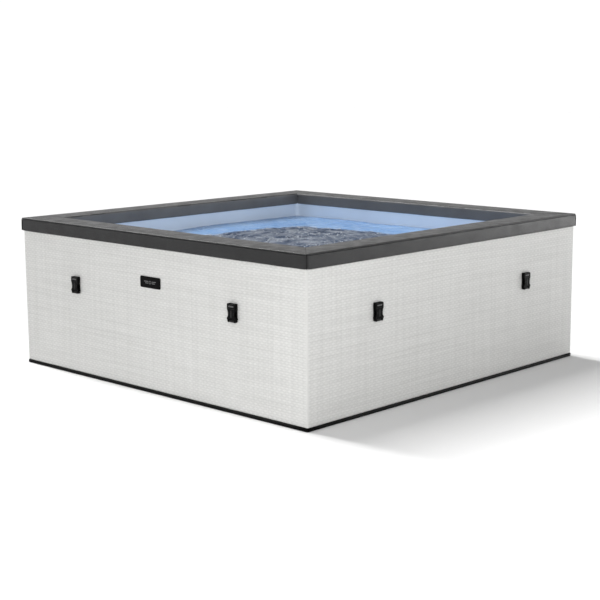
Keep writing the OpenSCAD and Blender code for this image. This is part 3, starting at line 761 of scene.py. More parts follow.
def make_camera():
    """The camera: where it stands, which way it looks, and how it leans."""
    azimuth, pitch, lean = (math.radians(a) for a in CAMERA_TURN)
    level = math.cos(pitch)
    ahead = Vector((-math.sin(azimuth) * level, math.cos(azimuth) * level, -math.sin(pitch)))
    right = ahead.cross(UP).normalized()
    up, c, s = right.cross(ahead), math.cos(lean), math.sin(lean)
    turn = Matrix((right * c + up * s, up * c - right * s, -ahead)).transposed().to_4x4()
    data = bpy.data.cameras.new("camera")
    data.lens, data.sensor_width = CAMERA_LENS, CAMERA_SENSOR
    data.shift_x, data.shift_y = CAMERA_SHIFT
    obj = new_object("camera", data)
    obj.matrix_world = shifted(*CAMERA_AT) @ turn
    bpy.context.scene.camera = obj


make_stage()
make_softbox()
make_light("corner_fill", (2.9, -3.1, 1.9), (0.9, -0.9, 0.45), (1.4, 1.4), 45.0)
make_gloss_strip()
make_camera()


# ---------- shell ----------

def ripple(x, y, z, size, amount):
    """Smooth noise from -amount to amount over bumps of about a size."""
    return amount * noise.noise(Vector((x, y, z)) / size)


def noise_at(x, y, layer, rate):
    """Smooth noise from -1 to 1 over a plan, with its bumps 1/rate across; each layer differs."""
    return noise.noise(Vector((x * rate, y * rate, layer)))


def cover_gaps(side):
    """What is cut out of a wall's cover, as (left, right, low, high): the case and the drain valve."""
    if side != BACK:
        return []
    middle, half = centre_of("drain_valve"), 20 * MM
    x, z = -middle.x, middle.z
    return [(-CASE_HALF, CASE_HALF, CASE_LOW, CASE_HIGH), (x - half, x + half, z - half, z + half)]


def cover_depth(side, u, v, low, reach, gaps):
    """How far a wall's cover lies behind its flat face: tucked in at its foot, and sagging a little
    where nothing holds it."""
    tuck = 2.2 * MM * max(0.0, 1 - (v - low) / (9 * MM)) ** 2
    edge = min(1.0, (reach - abs(u)) / 0.12, max(0.0, v - low) / 0.08)
    for x0, x1, z0, z1 in gaps:
        edge = min(edge, max(0.0, max(x0 - u, u - x1, z0 - v, v - z1) / 0.06 - 0.5))
    waves = ripple(u + 7 * side, v * 0.35, side, 0.17, 0.9 * MM)
    waves += ripple(u * 0.5, v, side + 9, 0.4, 0.8 * MM)
    return tuck + max(0.0, edge * (0.5 * MM + waves))


def jacket(side):
    """One wall's woven cover, drawn tight over the foam and round half of each corner."""
    name, gaps, low = SIDES[side], cover_gaps(side), WALL_LOW + 0.5 * MM
    flat, half_arc = WALL_OUT - CORNER_R, CORNER_R * math.pi / 4
    reach = flat + half_arc
    bends = [s * (flat + half_arc * k / 4) for s in (-1, 1) for k in range(1, 5)]
    columns = spread(-flat, flat, 28 * MM) + bends
    rows = [low + lift * MM for lift in (0, 2, 5, 9)] + spread(low + 16 * MM, WALL_TOP, 30 * MM)
    for x0, x1, z0, z1 in gaps:
        columns, rows = with_cuts(columns, (x0, x1), 6 * MM), with_cuts(rows, (z0, z1), 6 * MM)

    def place(u, v):
        depth = cover_depth(side, u, v, low, reach, gaps)
        if abs(u) <= flat:
            normal, base = Vector((0, -1, 0)), Vector((u, -WALL_OUT, v))
        else:
            turn = math.copysign((abs(u) - flat) / CORNER_R, u)
            normal = Vector((math.sin(turn), -math.cos(turn), 0))
            base = Vector((math.copysign(flat, u), -flat, v)) + normal * CORNER_R
        under = depth + COVER_T - 0.4 * MM
        return turned(side, base - normal * depth), turned(side, base - normal * under)

    mesh = skin(merged(columns), merged(rows), place, lambda u, v: not inside(gaps, u, v))
    obj = piece(f"woven_cover_{name}", mesh, WEAVE, "woven_white", stands_for=[f"wall_cover_{name}"])
    width, height = 2 * reach, WALL_TOP - low
    area = width * height - sum((x1 - x0) * (z1 - z0) for x0, x1, z0, z1 in gaps)


def corner_bead(side):
    """The welt that closes two covers at a corner: a round cord between two turned edges."""
    out = WALL_OUT - CORNER_R + CORNER_R * math.sqrt(0.5)
    toward, across = Vector((1, -1, 0)).normalized(), Vector((1, 1, 0)).normalized()
    half = [(-5.0, -1.6), (-4.4, -0.5), (-3.3, 0.2), (-2.2, -0.4), (-1.6, 0.2), (-1.3, 1.0), (-0.7, 1.6)]
    section = half + [(0.0, 1.8)] + [(-a, b) for a, b in reversed(half)]
    rings = []
    for z in spread(WALL_LOW + 1 * MM, BAND_LOW + 20 * MM, 20 * MM):
        sway = ripple(side * 3.1, 0, z, 0.12, 0.35 * MM)
        rings.append([turned(side, Vector((out, -out, z)) + across * (a * MM + sway) + toward * (b * MM))
                      for a, b in section])
    piece(f"corner_welt_{SIDES[side]}", loft(rings, angle=50), BEAD, "woven_white")


def rim_section():
    """The rim's outline across the wall, as (distance from the centre, height) pairs round a closed
    loop, with how much each point may move, 0 where it rests on the wall."""
    lip, edge, notch = 3 * MM, 8 * MM, 6 * MM
    shelf, low = RIM_TOP - notch, BAND_LOW + 4 * MM
    band = arc((RIM_OUT - lip, BAND_LOW + lip), lip, -90, 0, 3)
    band += [(RIM_OUT, z) for z in spread(BAND_LOW + 12 * MM, shelf - 6 * MM, 9 * MM)]
    band += arc((RIM_OUT - 2 * MM, shelf - 2.2 * MM), 2 * MM, 0, 90, 3)
    band += [(RIM_OUT - notch, shelf + 0.4 * MM)]
    band += arc((RIM_OUT - notch - 2.4 * MM, RIM_TOP - 2.2 * MM), 2.2 * MM, 10, 90, 3)
    top = [(d, RIM_TOP) for d in spread(RIM_OUT - 18 * MM, RIM_IN + 16 * MM, 11 * MM)]
    inner = arc((RIM_IN + edge, RIM_TOP - edge), edge, 90, 180, 5)
    inner += [(RIM_IN, z) for z in spread(RIM_TOP - edge - 8 * MM, low + 8 * MM, 9 * MM)]
    inner += arc((RIM_IN + lip, low + lip), lip, 180, 270, 3)
    back_in, back_out, seat_z = LINER_IN - 0.3 * MM, WALL_OUT + 0.3 * MM, WALL_TOP + 0.2 * MM
    seat = [(back_in, low + 1 * MM), (back_in, seat_z), (back_out, seat_z), (back_out, BAND_LOW + 1 * MM)]
    return [(*p, 1.0) for p in band + top + inner] + [(*p, 0.0) for p in seat]


def rim_move(side, x, d, z, from_seam):
    """How far the rim's skin stands out at a point, and how far the seam draws it in."""
    shown = limited((d - RIM_IN - 12 * MM) / (20 * MM))
    if z > RIM_TOP - 9 * MM:
        shown *= 0.45
    pull = shown * (5 * MM * math.exp(-from_seam / (3.5 * MM)) + MM * math.exp(-from_seam / (40 * MM)))
    across = limited((d - RIM_IN) / (RIM_OUT - RIM_IN))
    crown = 1.6 * MM * math.sin(math.pi * across) if z > RIM_TOP - 1 * MM else 0.0
    pucker = ripple(x + 5 * side, d * 2.0, z * 2.0, 0.11, 0.55 * MM) + ripple(x, side, z, 0.035, 0.18 * MM)
    return crown + pucker * min(1.0, from_seam / (25 * MM)) - pull, pull


def rim_pad(side):
    """One side of the padded rim: foam under leatherette, drawn in at both mitred seams."""
    name, section = SIDES[side], rim_section()
    normals = []
    for before, after in zip(section[-1:] + section[:-1], section[1:] + section[:1]):
        along = Vector((after[0] - before[0], after[1] - before[1])).normalized()
        normals.append(Vector((along.y, -along.x)))
    near = [1.0, 0.9985, 0.996, 0.992, 0.986, 0.978, 0.966]
    rings = []
    for s in merged([-s for s in near] + near + spread(-0.95, 0.95, 0.028), 1e-4):
        ring = []
        for (d, z, loose), n in zip(section, normals):
            out, pull = rim_move(side, s * d, d, z, d * (1 - abs(s)))
            out *= loose
            x = s * d - math.copysign(loose * 0.3 * pull, s)
            ring.append(turned(side, (x, -(d + n.x * out), z + n.y * out)))
        rings.append(ring)
    obj = piece(f"rim_pad_{name}", loft(rings, angle=42), LEATHER, "rim_black",
                stands_for=[f"rim_cover_{name}", f"rim_foam_{name}"])
    # the face towards the water gets a paler copy of the same leatherette: painted light, as if that face
    # were lit
    obj.data.materials.append(PAINTED_LIGHT_LEATHER)
    for face in obj.data.polygons:
        if max(abs(face.center.x), abs(face.center.y)) < RIM_IN + 2.5 * MM:
            face.material_index = 1


def square_path(half, radius, step, z):
    """Points round a square with rounded corners, at a height."""
    flat = half - radius
    points = []
    for side in range(4):
        points += [turned(side, (x, -half, z)) for x in spread(-flat, flat, step)[:-1]]
        points += [turned(side, (x, y, z)) for x, y in arc((flat, -flat), radius, -90, 0, 4)[:-1]]
    return points


def rim_seams():
    """A dark sewn welt down the band at each mitre, and over the rim's edge."""
    edge = RIM_OUT - 2.2 * MM
    path = [(edge - inset * MM, -edge + inset * MM, z) for inset, z in (
        (0, BAND_LOW + 2 * MM), (0, BAND_LOW + 20 * MM), (0, BAND_LOW + 38 * MM),
        (0.4, RIM_TOP - 9 * MM), (2.6, RIM_TOP - 4.5 * MM))]
    welts = [tube([turned(side, p) for p in path], 2.5 * MM, 12) for side in range(4)]
    piece("rim_corner_welts", joined(welts, 60), SEAM, "piping_black")


def rim_piping():
    """The corded piping sewn along the rim's top outer edge."""
    lo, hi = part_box("rim_piping")
    radius = (hi.z - lo.z) / 2
    path = square_path(hi.x - radius, 5 * MM, 22 * MM, hi.z - radius)
    piece("rim_piping_cord", tube(path, radius, 10, True), PIPING, "piping_black",
          stands_for=["rim_piping"])


def ground_mat():
    """The base mat: a thin padded sheet with a bound edge and a stitched groove beside it."""
    half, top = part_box("base_mat")[1].xz
    edge = 5.5 * MM
    bound = arc((-edge, edge), edge, -90, 0, 4) + arc((-edge, top - edge), edge, 0, 90, 4)
    section = [(half - 40 * MM, 0.0)] + [(x + half, z) for x, z in bound]
    section += [(half - 12 * MM, top), (half - 14 * MM, top - 0.8 * MM), (half - 16 * MM, top)]
    rings = [square_path(d, max(2 * MM, CORNER_R - (half - d)), 60 * MM, z) for d, z in section]
    piece("ground_mat", loft(rings), MAT, "base_black", stands_for=["base_mat"])


def liner_holes():
    """The liner's cut-outs in the back wall, as (left, right, low, high)."""
    holes = []
    for name, half in (("suction_fitting", 25.2), ("return_fitting", 25.2), ("air_feed_elbow", 12.4),
                       ("drain_valve", 15.4)):
        middle, half = centre_of(name), half * MM
        z = AIR_FEED_Z if name == "air_feed_elbow" else middle.z
        holes.append((middle.x - half, middle.x + half, z - half, z + half))
    return holes


def liner_grid(holes, top):
    """The liner's columns, as (wall, place along it, turn round its corner in degrees), and its rows,
    as (distance from the tub's middle, height), down the wall and in over the floor."""
    heights = spread(top, FLOOR_Z + LINER_COVE, 32 * MM)
    for _, _, z0, z1 in holes:
        heights = with_cuts(heights, (z0, z1), 3 * MM)
    rows = [(LINER_IN, z) for z in sorted(heights, reverse=True) if z >= FLOOR_Z + 8 * MM]
    rows += [(LINER_IN - 3 * MM, FLOOR_Z + 3 * MM), (LINER_IN - 8 * MM, FLOOR_Z)]
    rows += [(half, FLOOR_Z) for half in (0.76, 0.7, 0.6, 0.45, 0.3, 0.15, 0.05)]
    flat, columns = LINER_IN - LINER_CORNER_R, []
    for side in range(4):
        xs = spread(-flat, flat, 34 * MM)
        if side == BACK:
            xs = with_cuts(xs, [-x for x0, x1, _, _ in holes for x in (x0, x1)], 4 * MM)
        columns += [(side, x, 0.0) for x in merged(xs)] + [(side, flat, a) for a in (22.5, 45.0, 67.5)]
    return columns, rows


def liner_points(column, row, holes, top):
    """The liner's point on its water side at a column and a row, and the one behind it."""
    (side, x, angle), (half, z) = column, row
    flat, turn = LINER_IN - LINER_CORNER_R, math.radians(angle)
    normal = Vector((math.sin(turn), -math.cos(turn), 0))
    on_wall, sag = half > LINER_IN - 1 * MM, 0.0
    held = side == BACK and inside(holes, -x, z, 0.05)
    if on_wall and angle == 0.0 and z < top - 10 * MM and not held:
        slack = max(0.0, 0.6 * MM + ripple(x + side * 5, 0, z, 0.13, 1.6 * MM))
        sag = slack * min(1.0, (flat - abs(x)) / 0.1)
    p = (Vector((x, -flat, 0)) + normal * LINER_CORNER_R - normal * sag) * (half / LINER_IN)
    p.z = z
    if on_wall:
        behind = normal * (LINER_T - 0.4 * MM)
    elif half > LINER_IN - 10 * MM:
        behind = (normal - UP).normalized() * (LINER_T - 0.6 * MM)
    else:
        behind = -UP * (LINER_T - 0.4 * MM)
    return turned(side, p), turned(side, p + behind)


def liner_shell():
    """The pool liner: walls, a rounded foot and a floor, in one thin skin with welded corners."""
    top, holes = WALL_TOP - 0.5 * MM, liner_holes()
    columns, rows = liner_grid(holes, top)
    n, m = len(columns), len(rows)

    def present(i, j):
        (side, x, angle), (next_side, next_x, _) = columns[i], columns[(i + 1) % n]
        on_back = side == next_side == BACK and angle == 0.0 and rows[j + 1][0] > LINER_IN - 1 * MM
        return not (on_back and inside(holes, -(x + next_x) / 2, (rows[j][1] + rows[j + 1][1]) / 2))

    outer, inner = zip(*(liner_points(c, r, holes, top) for c in columns for r in rows))
    faces, borders = two_layers(n, m, present, wrap=True)
    # both layers close with one face in the middle of the floor
    middle = [i * m + m - 1 for i in range(n)]
    faces += [tuple(middle), tuple(v + n * m for v in reversed(middle))]
    faces += edge_walls([e for e in borders if not set(e) <= set(middle)], n * m)
    piece("pool_liner", shape(outer + inner, faces, angle=50), VINYL, "liner_blue", stands_for=["liner"])


# ---------- water ----------

def churning(x, y):
    """How far the water at a point is broken up by air, 0 to 1: a rounded square over the jets."""
    away = max(abs(x), abs(y)) * 0.52 + math.hypot(x, y) * 0.48
    away += 0.05 * noise.noise(Vector((x, y, 3.0)) * 6) + 0.014 * noise.noise(Vector((x, y, 8.0)) * 22)
    return limited((CHURN_HALF - away) / 0.09 + 0.5)


def water_height(x, y):
    """The water's surface: long low waves, and round boils where it churns."""
    long = 1.5 * MM * math.sin(9 * x + 6 * y + 2 * noise_at(x, y, 0.0, 2))
    swell = 3 * MM * noise_at(x, y, 1.0, 3) + 1.5 * MM * noise_at(x, y, 2.0, 11)
    coarse = math.sqrt(noise_at(x, y, 5.0, 8) ** 2 + 0.004)
    fine = math.sqrt(noise_at(x, y, 6.0, 23) ** 2 + 0.006)
    return WATER_Z + long + swell + churning(x, y) * (5 * MM + coarse * 11 * MM + fine * 6 * MM)


def water():
    """The bath water's surface, and what froths on it."""
    gap, thick = 2.5 * MM, 5 * MM
    flat, values = LINER_IN - LINER_CORNER_R, spread(gap - LINER_IN, LINER_IN - gap, 9 * MM)

    def place(x, y):
        if abs(x) > flat and abs(y) > flat:
            centre = Vector((math.copysign(flat, x), math.copysign(flat, y)))
            out = Vector((x, y)) - centre
            if out.length > LINER_CORNER_R - gap:
                out = out.normalized() * (LINER_CORNER_R - gap)
            x, y = centre + out
        z = water_height(x, y)
        return Vector((x, y, z)), Vector((x, y, z - thick))

    mesh = skin(values, values, place, angle=80)
    churn, foam = (mesh.attributes.new(kind, "FLOAT", "POINT") for kind in ("churn", "foam"))
    for i, v in enumerate(mesh.vertices):
        lively = churning(v.co.x, v.co.y)
        rim = math.exp(-((lively - 0.2) / 0.15) ** 2) * (0.25 + 1.1 * noise_at(v.co.x, v.co.y, 4.0, 13))
        churn.data[i].value = limited((lively - 0.08) / 0.7)
        foam.data[i].value = limited(rim)
    piece("water_surface", mesh, WATER, "liner_blue")


def bubbles():
    """Bubbles afloat in loose rafts on the churning water."""
    dome = [(0.0, -0.55), (0.83, -0.55), (0.98, -0.15), (0.95, 0.25), (0.76, 0.62), (0.42, 0.89),
            (0.0, 0.98)]
    count, reach = 420, 0.55
    chance, domes = random.Random(5), []
    while len(domes) < count:
        x, y = chance.uniform(-reach, reach), chance.uniform(-reach, reach)
        raft = noise_at(x, y, 9.0, 6) + 0.6 * noise_at(x, y, 9.0, 19)
        if churning(x, y) < 0.3 or raft < chance.uniform(0.0, 0.35):
            continue
        size = (1.6 + 4.6 * chance.random() ** 2) * MM
        domes.append(moved(lathe(scaled(size, *dome), 12, 60), shifted(x, y, water_height(x, y))))
    piece("water_bubbles", joined(domes, 60), BUBBLES, "liner_blue")


for title in SIDES:
    soft_copy(f"wall_foam_{title}", f"foam_board_{title}", FOAM, "foam_white", 2)
for wall in range(4):
    jacket(wall)
    corner_bead(wall)
    rim_pad(wall)
soft_copy("floor_pad", "floor_cushion", FOAM, "foam_white", 4)
rim_piping()
rim_seams()
ground_mat()
liner_shell()
water()
bubbles()


# ---------- lid buckles, their webbing and the name plate ----------

BUCKLE_X = 0.515
BAR_FROM_CENTRE, BAR_Z = 0.9275, 0.382
BAR_TO_WALL = BAR_FROM_CENTRE - WALL_OUT


def pill(width, height, low, high, place, rise=1.0):
    """A raised bar with round ends, facing -Y, with its edge rounded by rise. All in millimetres."""
    outline = rounded_rect(width * MM, height * MM, (min(width, height) / 2 - 0.05) * MM, 5)
    return moved(slab(outline, low * MM, high * MM, rise * MM), shifted(place[0] * MM, 0, place[1] * MM))


def box_mm(lo, hi):
    """A block between two corners in millimetres."""
    return block(*scaled(MM, lo, hi))


def buckle_outline():
    """Half widths and heights above the strap bar, up one side of the buckle, then down the other."""
    right = [(18.2, -4.0), (20.4, -3.3), (21.6, -0.8), (23.0, 4.0), (25.0, 7.4), (25.9, 9.8),
             (26.0, 12.0), (25.2, 14.4), (23.2, 16.8), (21.0, 19.0), (19.9, 21.6), (19.6, 25.0),
             (19.6, 31.0), (20.1, 36.0), (20.9, 40.5), (22.0, 44.0), (23.4, 46.6), (24.3, 49.4),
             (24.5, 53.0), (24.5, 66.0), (24.0, 69.2), (22.6, 71.6), (20.2, 72.8), (17.0, 73.0)]
    return scaled(MM, *right, *[(-x, z) for x, z in reversed(right)])


def buckle_mesh():
    """A side-release socket: a collar at its mouth, a waist, two lobes and a gap for the webbing."""
    shell = slab(buckle_outline(), 0.0, -7 * MM, 2.2 * MM, 4)
    rear = slab(buckle_outline(), 0.0, 7 * MM, 1.2 * MM, 3)
    hollows = [box_mm((-19, -4, 16), (19, 4, 90)), box_mm((-30, -4, 21), (30, 4, 40)),
               box_mm((-16, -20, -12), (16, 20, 8.5))]
    recesses = [softened(box_mm((-16.5, -9, 56), (16.5, -6, 66)), 0.9 * MM),
                softened(box_mm((-8.2, -9, 13), (8.2, -6.2, 46)), 0.7 * MM)]
    bar = tube(scaled(MM, *[(x, 0, 0) for x in (-18, -12, -6, 0, 6, 12, 18)]), 3 * MM, 16)
    return joined([carved(shell, hollows + recesses), carved(rear, hollows), bar], 40)


def buckle_trim():
    """The socket's tongue and grip ribs, in a paler grey that is a painted highlight."""
    details = [pill(9.6, 30, -5.6, -7.6, (0, 29.5), 1.4)]
    details += [pill(40, 1.1, -6.6, -7.3, (0, height), 0.3) for height in (51.0, 69.6)]
    grips = [(x, height) for x in (-14.2, 14.2) for height in (26.5, 30.5, 34.5)]
    details += [pill(7, 1.3, -6.6, -7.5, place, 0.4) for place in grips]
    return joined(details, 40)


def webbing_path():
    """The strap's middle line, as (distance behind the bar, height) points: up the wall's patch, round
    the bar and back."""
    wall = BAR_TO_WALL
    path = [(wall - 0.9 * MM, z * MM) for z in (40, 34, 28, 22, 16, 10, 6)]
    path += [(wall - 1.1 * MM, 4 * MM), (wall - 2.0 * MM, 2.6 * MM), (4.6 * MM, 2.2 * MM)]
    path += arc((0.0, 0.0), 3.85 * MM, 40, 320, 10)
    path += [(4.6 * MM, -2.4 * MM), (wall - 2.4 * MM, -1.6 * MM), (wall - 0.8 * MM, -0.9 * MM)]
    return [Vector(p) for p in path]


def webbing_mesh():
    """Webbing sewn flat on a patch on the wall, led out round the strap bar and back under itself."""
    half, thick, path = 15 * MM, 1.3 * MM, webbing_path()
    lengths, at = [0.0], {}
    for a, b in zip(path, path[1:]):
        lengths.append(lengths[-1] + (b - a).length)
    for length, p, before, after in zip(lengths, path, path[:1] + path[:-1], path[1:] + path[-1:]):
        along = (after - before).normalized()
        at[length] = (p, Vector((-along.y, along.x)))

    def strap(u, v):
        p, n = at[v]
        rise = n * (thick / 2 * (1.0 if abs(u) < half - 0.5 * MM else 0.55))
        return Vector((u, *(p + rise))), Vector((u, *(p - rise)))

    def patch(u, v):
        rounding = 0.5 * MM if abs(u) > 20.4 * MM or not -1.4 * MM < v < 71.4 * MM else 0.0
        return Vector((u, BAR_TO_WALL - 1.0 * MM + rounding, v)), Vector((u, BAR_TO_WALL + 0.3 * MM, v))

    columns = [-half, -half + 0.8 * MM, -5 * MM, 5 * MM, half - 0.8 * MM, half]
    wide = [x * MM for x in (-21, -20.2, -10, 0, 10, 20.2, 21)]
    tall = [z * MM for z in (-2, -1.2, 10, 25, 40, 55, 71.2, 72)]
    return joined([skin(columns, lengths, strap, angle=60), skin(wide, tall, patch, angle=60)], 60)


def stitches_mesh():
    """A sewn box with a cross in it, as short raised threads."""
    left, right, low, high = -12, 12, 14, 36
    corners = [(left, low), (right, low), (right, high), (left, high), (left, low), (right, high)]
    face = BAR_TO_WALL - 1.65 * MM
    threads = []
    for start, end in [*zip(corners, corners[1:]), ((left, high), (right, low))]:
        a, b = (Vector((x * MM, face, z * MM)) for x, z in (start, end))
        count = max(2, round((b - a).length / (3.2 * MM)))
        for i in range(count):
            p, q = a.lerp(b, (i + 0.14) / count), a.lerp(b, (i + 0.86) / count)
            middle = (p + q) / 2 - Vector((0, 0.25 * MM, 0))
            threads.append(tube([p, middle, q], 0.28 * MM, 6))
    return joined(threads, 60)


def lid_buckles():
    """Two buckles on each wall. Each is drawn at the origin facing -Y, and then moved to its place."""
    # the pale strip across the collar is a painted highlight
    strip = pill(30, 5.8, -5.6, -7.4, (0, 61))
    parts = [("buckle_socket", buckle_mesh(), BUCKLE, "buckle_black", True),
             ("buckle_trim", buckle_trim(), HIGHLIGHT_TRIM, "buckle_black", False),
             ("buckle_strip", strip, HIGHLIGHT_STRIP, "buckle_black", False),
             ("webbing_loop", webbing_mesh(), WEBBING, "webbing_black", True),
             ("webbing_stitches", stitches_mesh(), BUCKLE, "webbing_black", False)]
    for side, wall_name in enumerate(SIDES):
        for end, x in (("a", -BUCKLE_X), ("b", BUCKLE_X)):
            to_wall = spun(90 * side, "Z") @ shifted(x, -BAR_FROM_CENTRE, BAR_Z)
            buckle = f"buckle_{wall_name}_{end}"
            for name, mesh, finish, slot, replaces in parts:
                swings = slot == "buckle_black"
                stands_for = [buckle if swings else "buckle_webbing"] if replaces else []
                piece(f"{name}_{wall_name}_{end}", moved(mesh, to_wall), finish, slot,
                      buckle if swings else "tub", stands_for)


def name_plate():
    """The plate with a raised border, and a plain mark of a ring and bars."""
    lo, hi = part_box("name_plate")
    to_place = shifted((lo.x + hi.x) / 2, 0, (lo.z + hi.z) / 2)
    width, height, front = hi.x - lo.x, hi.z - lo.z, lo.y
    base = slab(rounded_rect(width, height, 7 * MM, 8), hi.y + 0.4 * MM, front + 0.6 * MM, 1.3 * MM, 4)
    outer = rounded_rect(width - 7 * MM, height - 7 * MM, 5 * MM, 8)
    inner = rounded_rect(width - 9.4 * MM, height - 9.4 * MM, 3.9 * MM, 8)
    low, high = front + 1.2 * MM, front + 0.1 * MM
    border = hoop((inner, low), (inner, high), (outer, high), (outer, low), angle=30)
    body = moved(joined([base, border]), to_place)
    piece("plate_body", body, PLATE, "plate_black", stands_for=["name_plate"])
    face, raised = front + 1.0 * MM, 0.9 * MM
    top = raised - face
    ring = [(r * MM, z) for r, z in ((4.9, -face), (4.9, top), (7.1, top), (7.1, -face))]
    mark = [moved(lathe(ring, 40), spun(90, "X"))]
    for x in (-1, 1):
        for length, middle, z in ((27, 25, 3.6), (20, 21.5, -3.6)):
            mark.append(pill(length, 3.2, face / MM, (face - raised) / MM, (x * middle, z), 0.4))
    piece("plate_mark", moved(joined(mark), to_place), MARK, "plate_black")


lid_buckles()
name_plate()


# ---------- water fittings ----------

def pleated_filter():
    """A ring of folded paper between two end plates."""
    lo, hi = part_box("filter_cartridge")
    outer, folds, half = (hi.x - lo.x) / 2 - 1 * MM, 60, (hi.y - lo.y) / 2
    inner, inset = outer - 26 * MM, half - 2 * MM
    to_place = Matrix.Translation(centre_of("filter_cartridge")) @ spun(90, "X")

    def ring(radii, z):
        return [(r * math.cos(math.pi * i / folds), r * math.sin(math.pi * i / folds), z)
                for i, r in enumerate(radii * folds)]

    rings = [ring([outer - 9 * MM, outer], z) for z in (-inset, 0.0, inset)]
    rings += [ring([inner, inner], z) for z in (inset, -inset)]
    paper = loft(rings, closed=True, angle=25)
    piece("filter_paper", moved(paper, to_place), PAPER, "filter_paper", stands_for=["filter_cartridge"])
    plates = []
    for low, high in ((-half, 3 * MM - half), (half - 3 * MM, half)):
        lip, shoulder = outer + 0.6 * MM, high - 1 * MM
        plates.append(lathe([(inner, low), (inner, shoulder), (inner + 1 * MM, high),
                             (outer - 1 * MM, high), (lip, shoulder), (lip, low)], 60))
    piece("filter_end_plates", moved(joined(plates), to_place), WHITE_PLASTIC, "filter_paper")


for node, name, finish, slot, width, segments in (
        ("suction_fitting", "suction_flange", WHITE_PLASTIC, "fitting_white", 0.2, 1),
        ("return_fitting", "return_grille", WHITE_PLASTIC, "fitting_white", 0.5, 3),
        ("air_channel", "air_jet_duct", DUCT, "duct_blue", 1.2, 3),
        ("air_feed_elbow", "air_elbow", WHITE_PLASTIC, "fitting_white", 0.5, 3),
        ("drain_strainer", "drain_grille", WHITE_PLASTIC, "fitting_white", 0.4, 3),
        ("drain_valve", "drain_body", BLACK_PLASTIC, "panel_black", 0.7, 3)):
    soft_copy(node, name, finish, slot, width, segments)
pleated_filter()
soft_copy("filter_cap", "filter_cover", WHITE_PLASTIC, "fitting_white", 1.0, body="filter_cap")
soft_copy("drain_cap", "drain_cover", BLACK_PLASTIC, "panel_black", 0.2, 1, "drain_cap")


# ---------- equipment case and its door ----------

FRAME_FACE, DOOR_FACE = 0.922, 0.928
FRAME_HALF, FRAME_LOW, FRAME_HIGH = 0.3, 0.07, 0.58
DOOR_WIDTH, DOOR_HEIGHT, DOOR_Z = 0.500, 0.337, 0.2875
VENT_Z, VENT_COUNT, VENT_STEP = 0.158, 14, 18 * MM
HINGE_X, HINGE_Y, HINGE_ZS = -0.288, 0.9275, (0.170, 0.405)
LATCH_X, LATCH_ZS = 0.248, {"upper": 0.425, "lower": 0.150}


def to_back(x, y, z):
    """A turn that makes a mesh drawn along +Z stand out from the back wall, at a place."""
    return shifted(x, y, z) @ spun(-90, "X")


def screw_mesh(radius):
    """A pan-head screw with a cross recess, its head looking towards +Z."""
    head = lathe(scaled(radius, (0, 0), (1, 0), (1, 0.35), (0.82, 0.62), (0.45, 0.75), (0, 0.78)), 24)
    arms = [block(*scaled(radius, (-x, -y, 0.4), (x, y, 1))) for x, y in ((0.55, 0.13), (0.13, 0.55))]
    return carved(head, arms)


def screws(name, radius, face, places):
    """Screws on the back wall at (x, z, turn in radians) places, as one piece."""
    screw = screw_mesh(radius)
    made = [moved(screw, to_back(x, face - 0.2 * MM, z) @ Matrix.Rotation(turn, 4, "Z"))
            for x, z, turn in places]
    piece(name, joined(made), STEEL, "pin_steel")


def frame_screws():
    """Screws through the case's frame: three up each side and two along its foot."""
    side_x = FRAME_HALF - 10 * MM
    heights = (FRAME_LOW + 12 * MM, (FRAME_LOW + FRAME_HIGH) / 2 + 0.09, FRAME_HIGH - 12 * MM)
    places = [(x, z, x * 9 + z * 5) for z in heights for x in (-side_x, side_x)]
    places += [(x, FRAME_LOW + 9 * MM, x * 30) for x in (-0.1, 0.1)]
    screws("frame_screws", 3.6 * MM, FRAME_FACE, places)


def frame_gasket():
    """A thin rubber seal between the case's frame and the woven cover."""
    outer, inner = rounded_rect(0.606, 0.516, 17 * MM, 8), rounded_rect(0.590, 0.500, 12 * MM, 8)
    low, high = WALL_OUT - 1.5 * MM, WALL_OUT + 1.2 * MM
    mesh = hoop((inner, low), (inner, high), (outer, high), (outer, low))
    middle = (FRAME_LOW + FRAME_HIGH) / 2
    piece("frame_gasket", moved(mesh, shifted(0, 0, middle)), BLACK_PLASTIC, "case_grey")


def door():
    """The equipment door, with a pressed border, louvred vents and a finger pull."""
    soft_copy("equipment_door", "bay_door", DOOR, "door_grey", 0.9, body="door")

    def layer(inset, radius, rise):
        width, height = DOOR_WIDTH - inset * MM, DOOR_HEIGHT - inset * MM
        return rounded_rect(width, height, radius * MM, 8), DOOR_FACE + rise * MM

    border = hoop(layer(8, 6, -0.8), layer(8, 6, 0.4), layer(5, 7, 1.3), layer(3, 8, 1.3), layer(0, 9, 0.4),
                  layer(0, 9, -0.8), angle=50)
    piece("door_border", moved(border, shifted(0, 0, DOOR_Z)), DOOR, "door_grey", "door")
    lips = []
    for i in range(VENT_COUNT):
        for s in (-1, 1):
            x = (i - (VENT_COUNT - 1) / 2) * VENT_STEP + s * 4.3 * MM
            path = [(x, DOOR_FACE + 0.1 * MM, VENT_Z + z * MM) for z in (-32, -16, 0, 16, 32)]
            lips.append(tube(path, 0.7 * MM, 8))
    piece("vent_lips", joined(lips, 60), DOOR, "door_grey", "door")
    pull = pill(70, 16, 0.5 - DOOR_FACE / MM, -3.2 - DOOR_FACE / MM, (0, 0), 2.4)
    to_door = shifted(0.18, 0, DOOR_Z) @ spun(90, "Y") @ Matrix.Diagonal((1, -1, 1, 1))
    piece("door_pull", moved(pull, to_door), DOOR, "door_grey", "door")


def hinge_pins():
    """Steel pins with domed heads through both hinges."""
    pin = lathe(scaled(MM, (0, -24), (1.6, -24), (2, -23.4), (2, 22.6), (3.4, 22.8), (3.2, 24), (1.8, 25),
                       (0, 25.2)), 20)
    pins = [moved(pin, shifted(HINGE_X, HINGE_Y, z)) for z in HINGE_ZS]
    piece("hinge_pins", joined(pins), STEEL, "pin_steel", stands_for=["door_hinge_pins"])


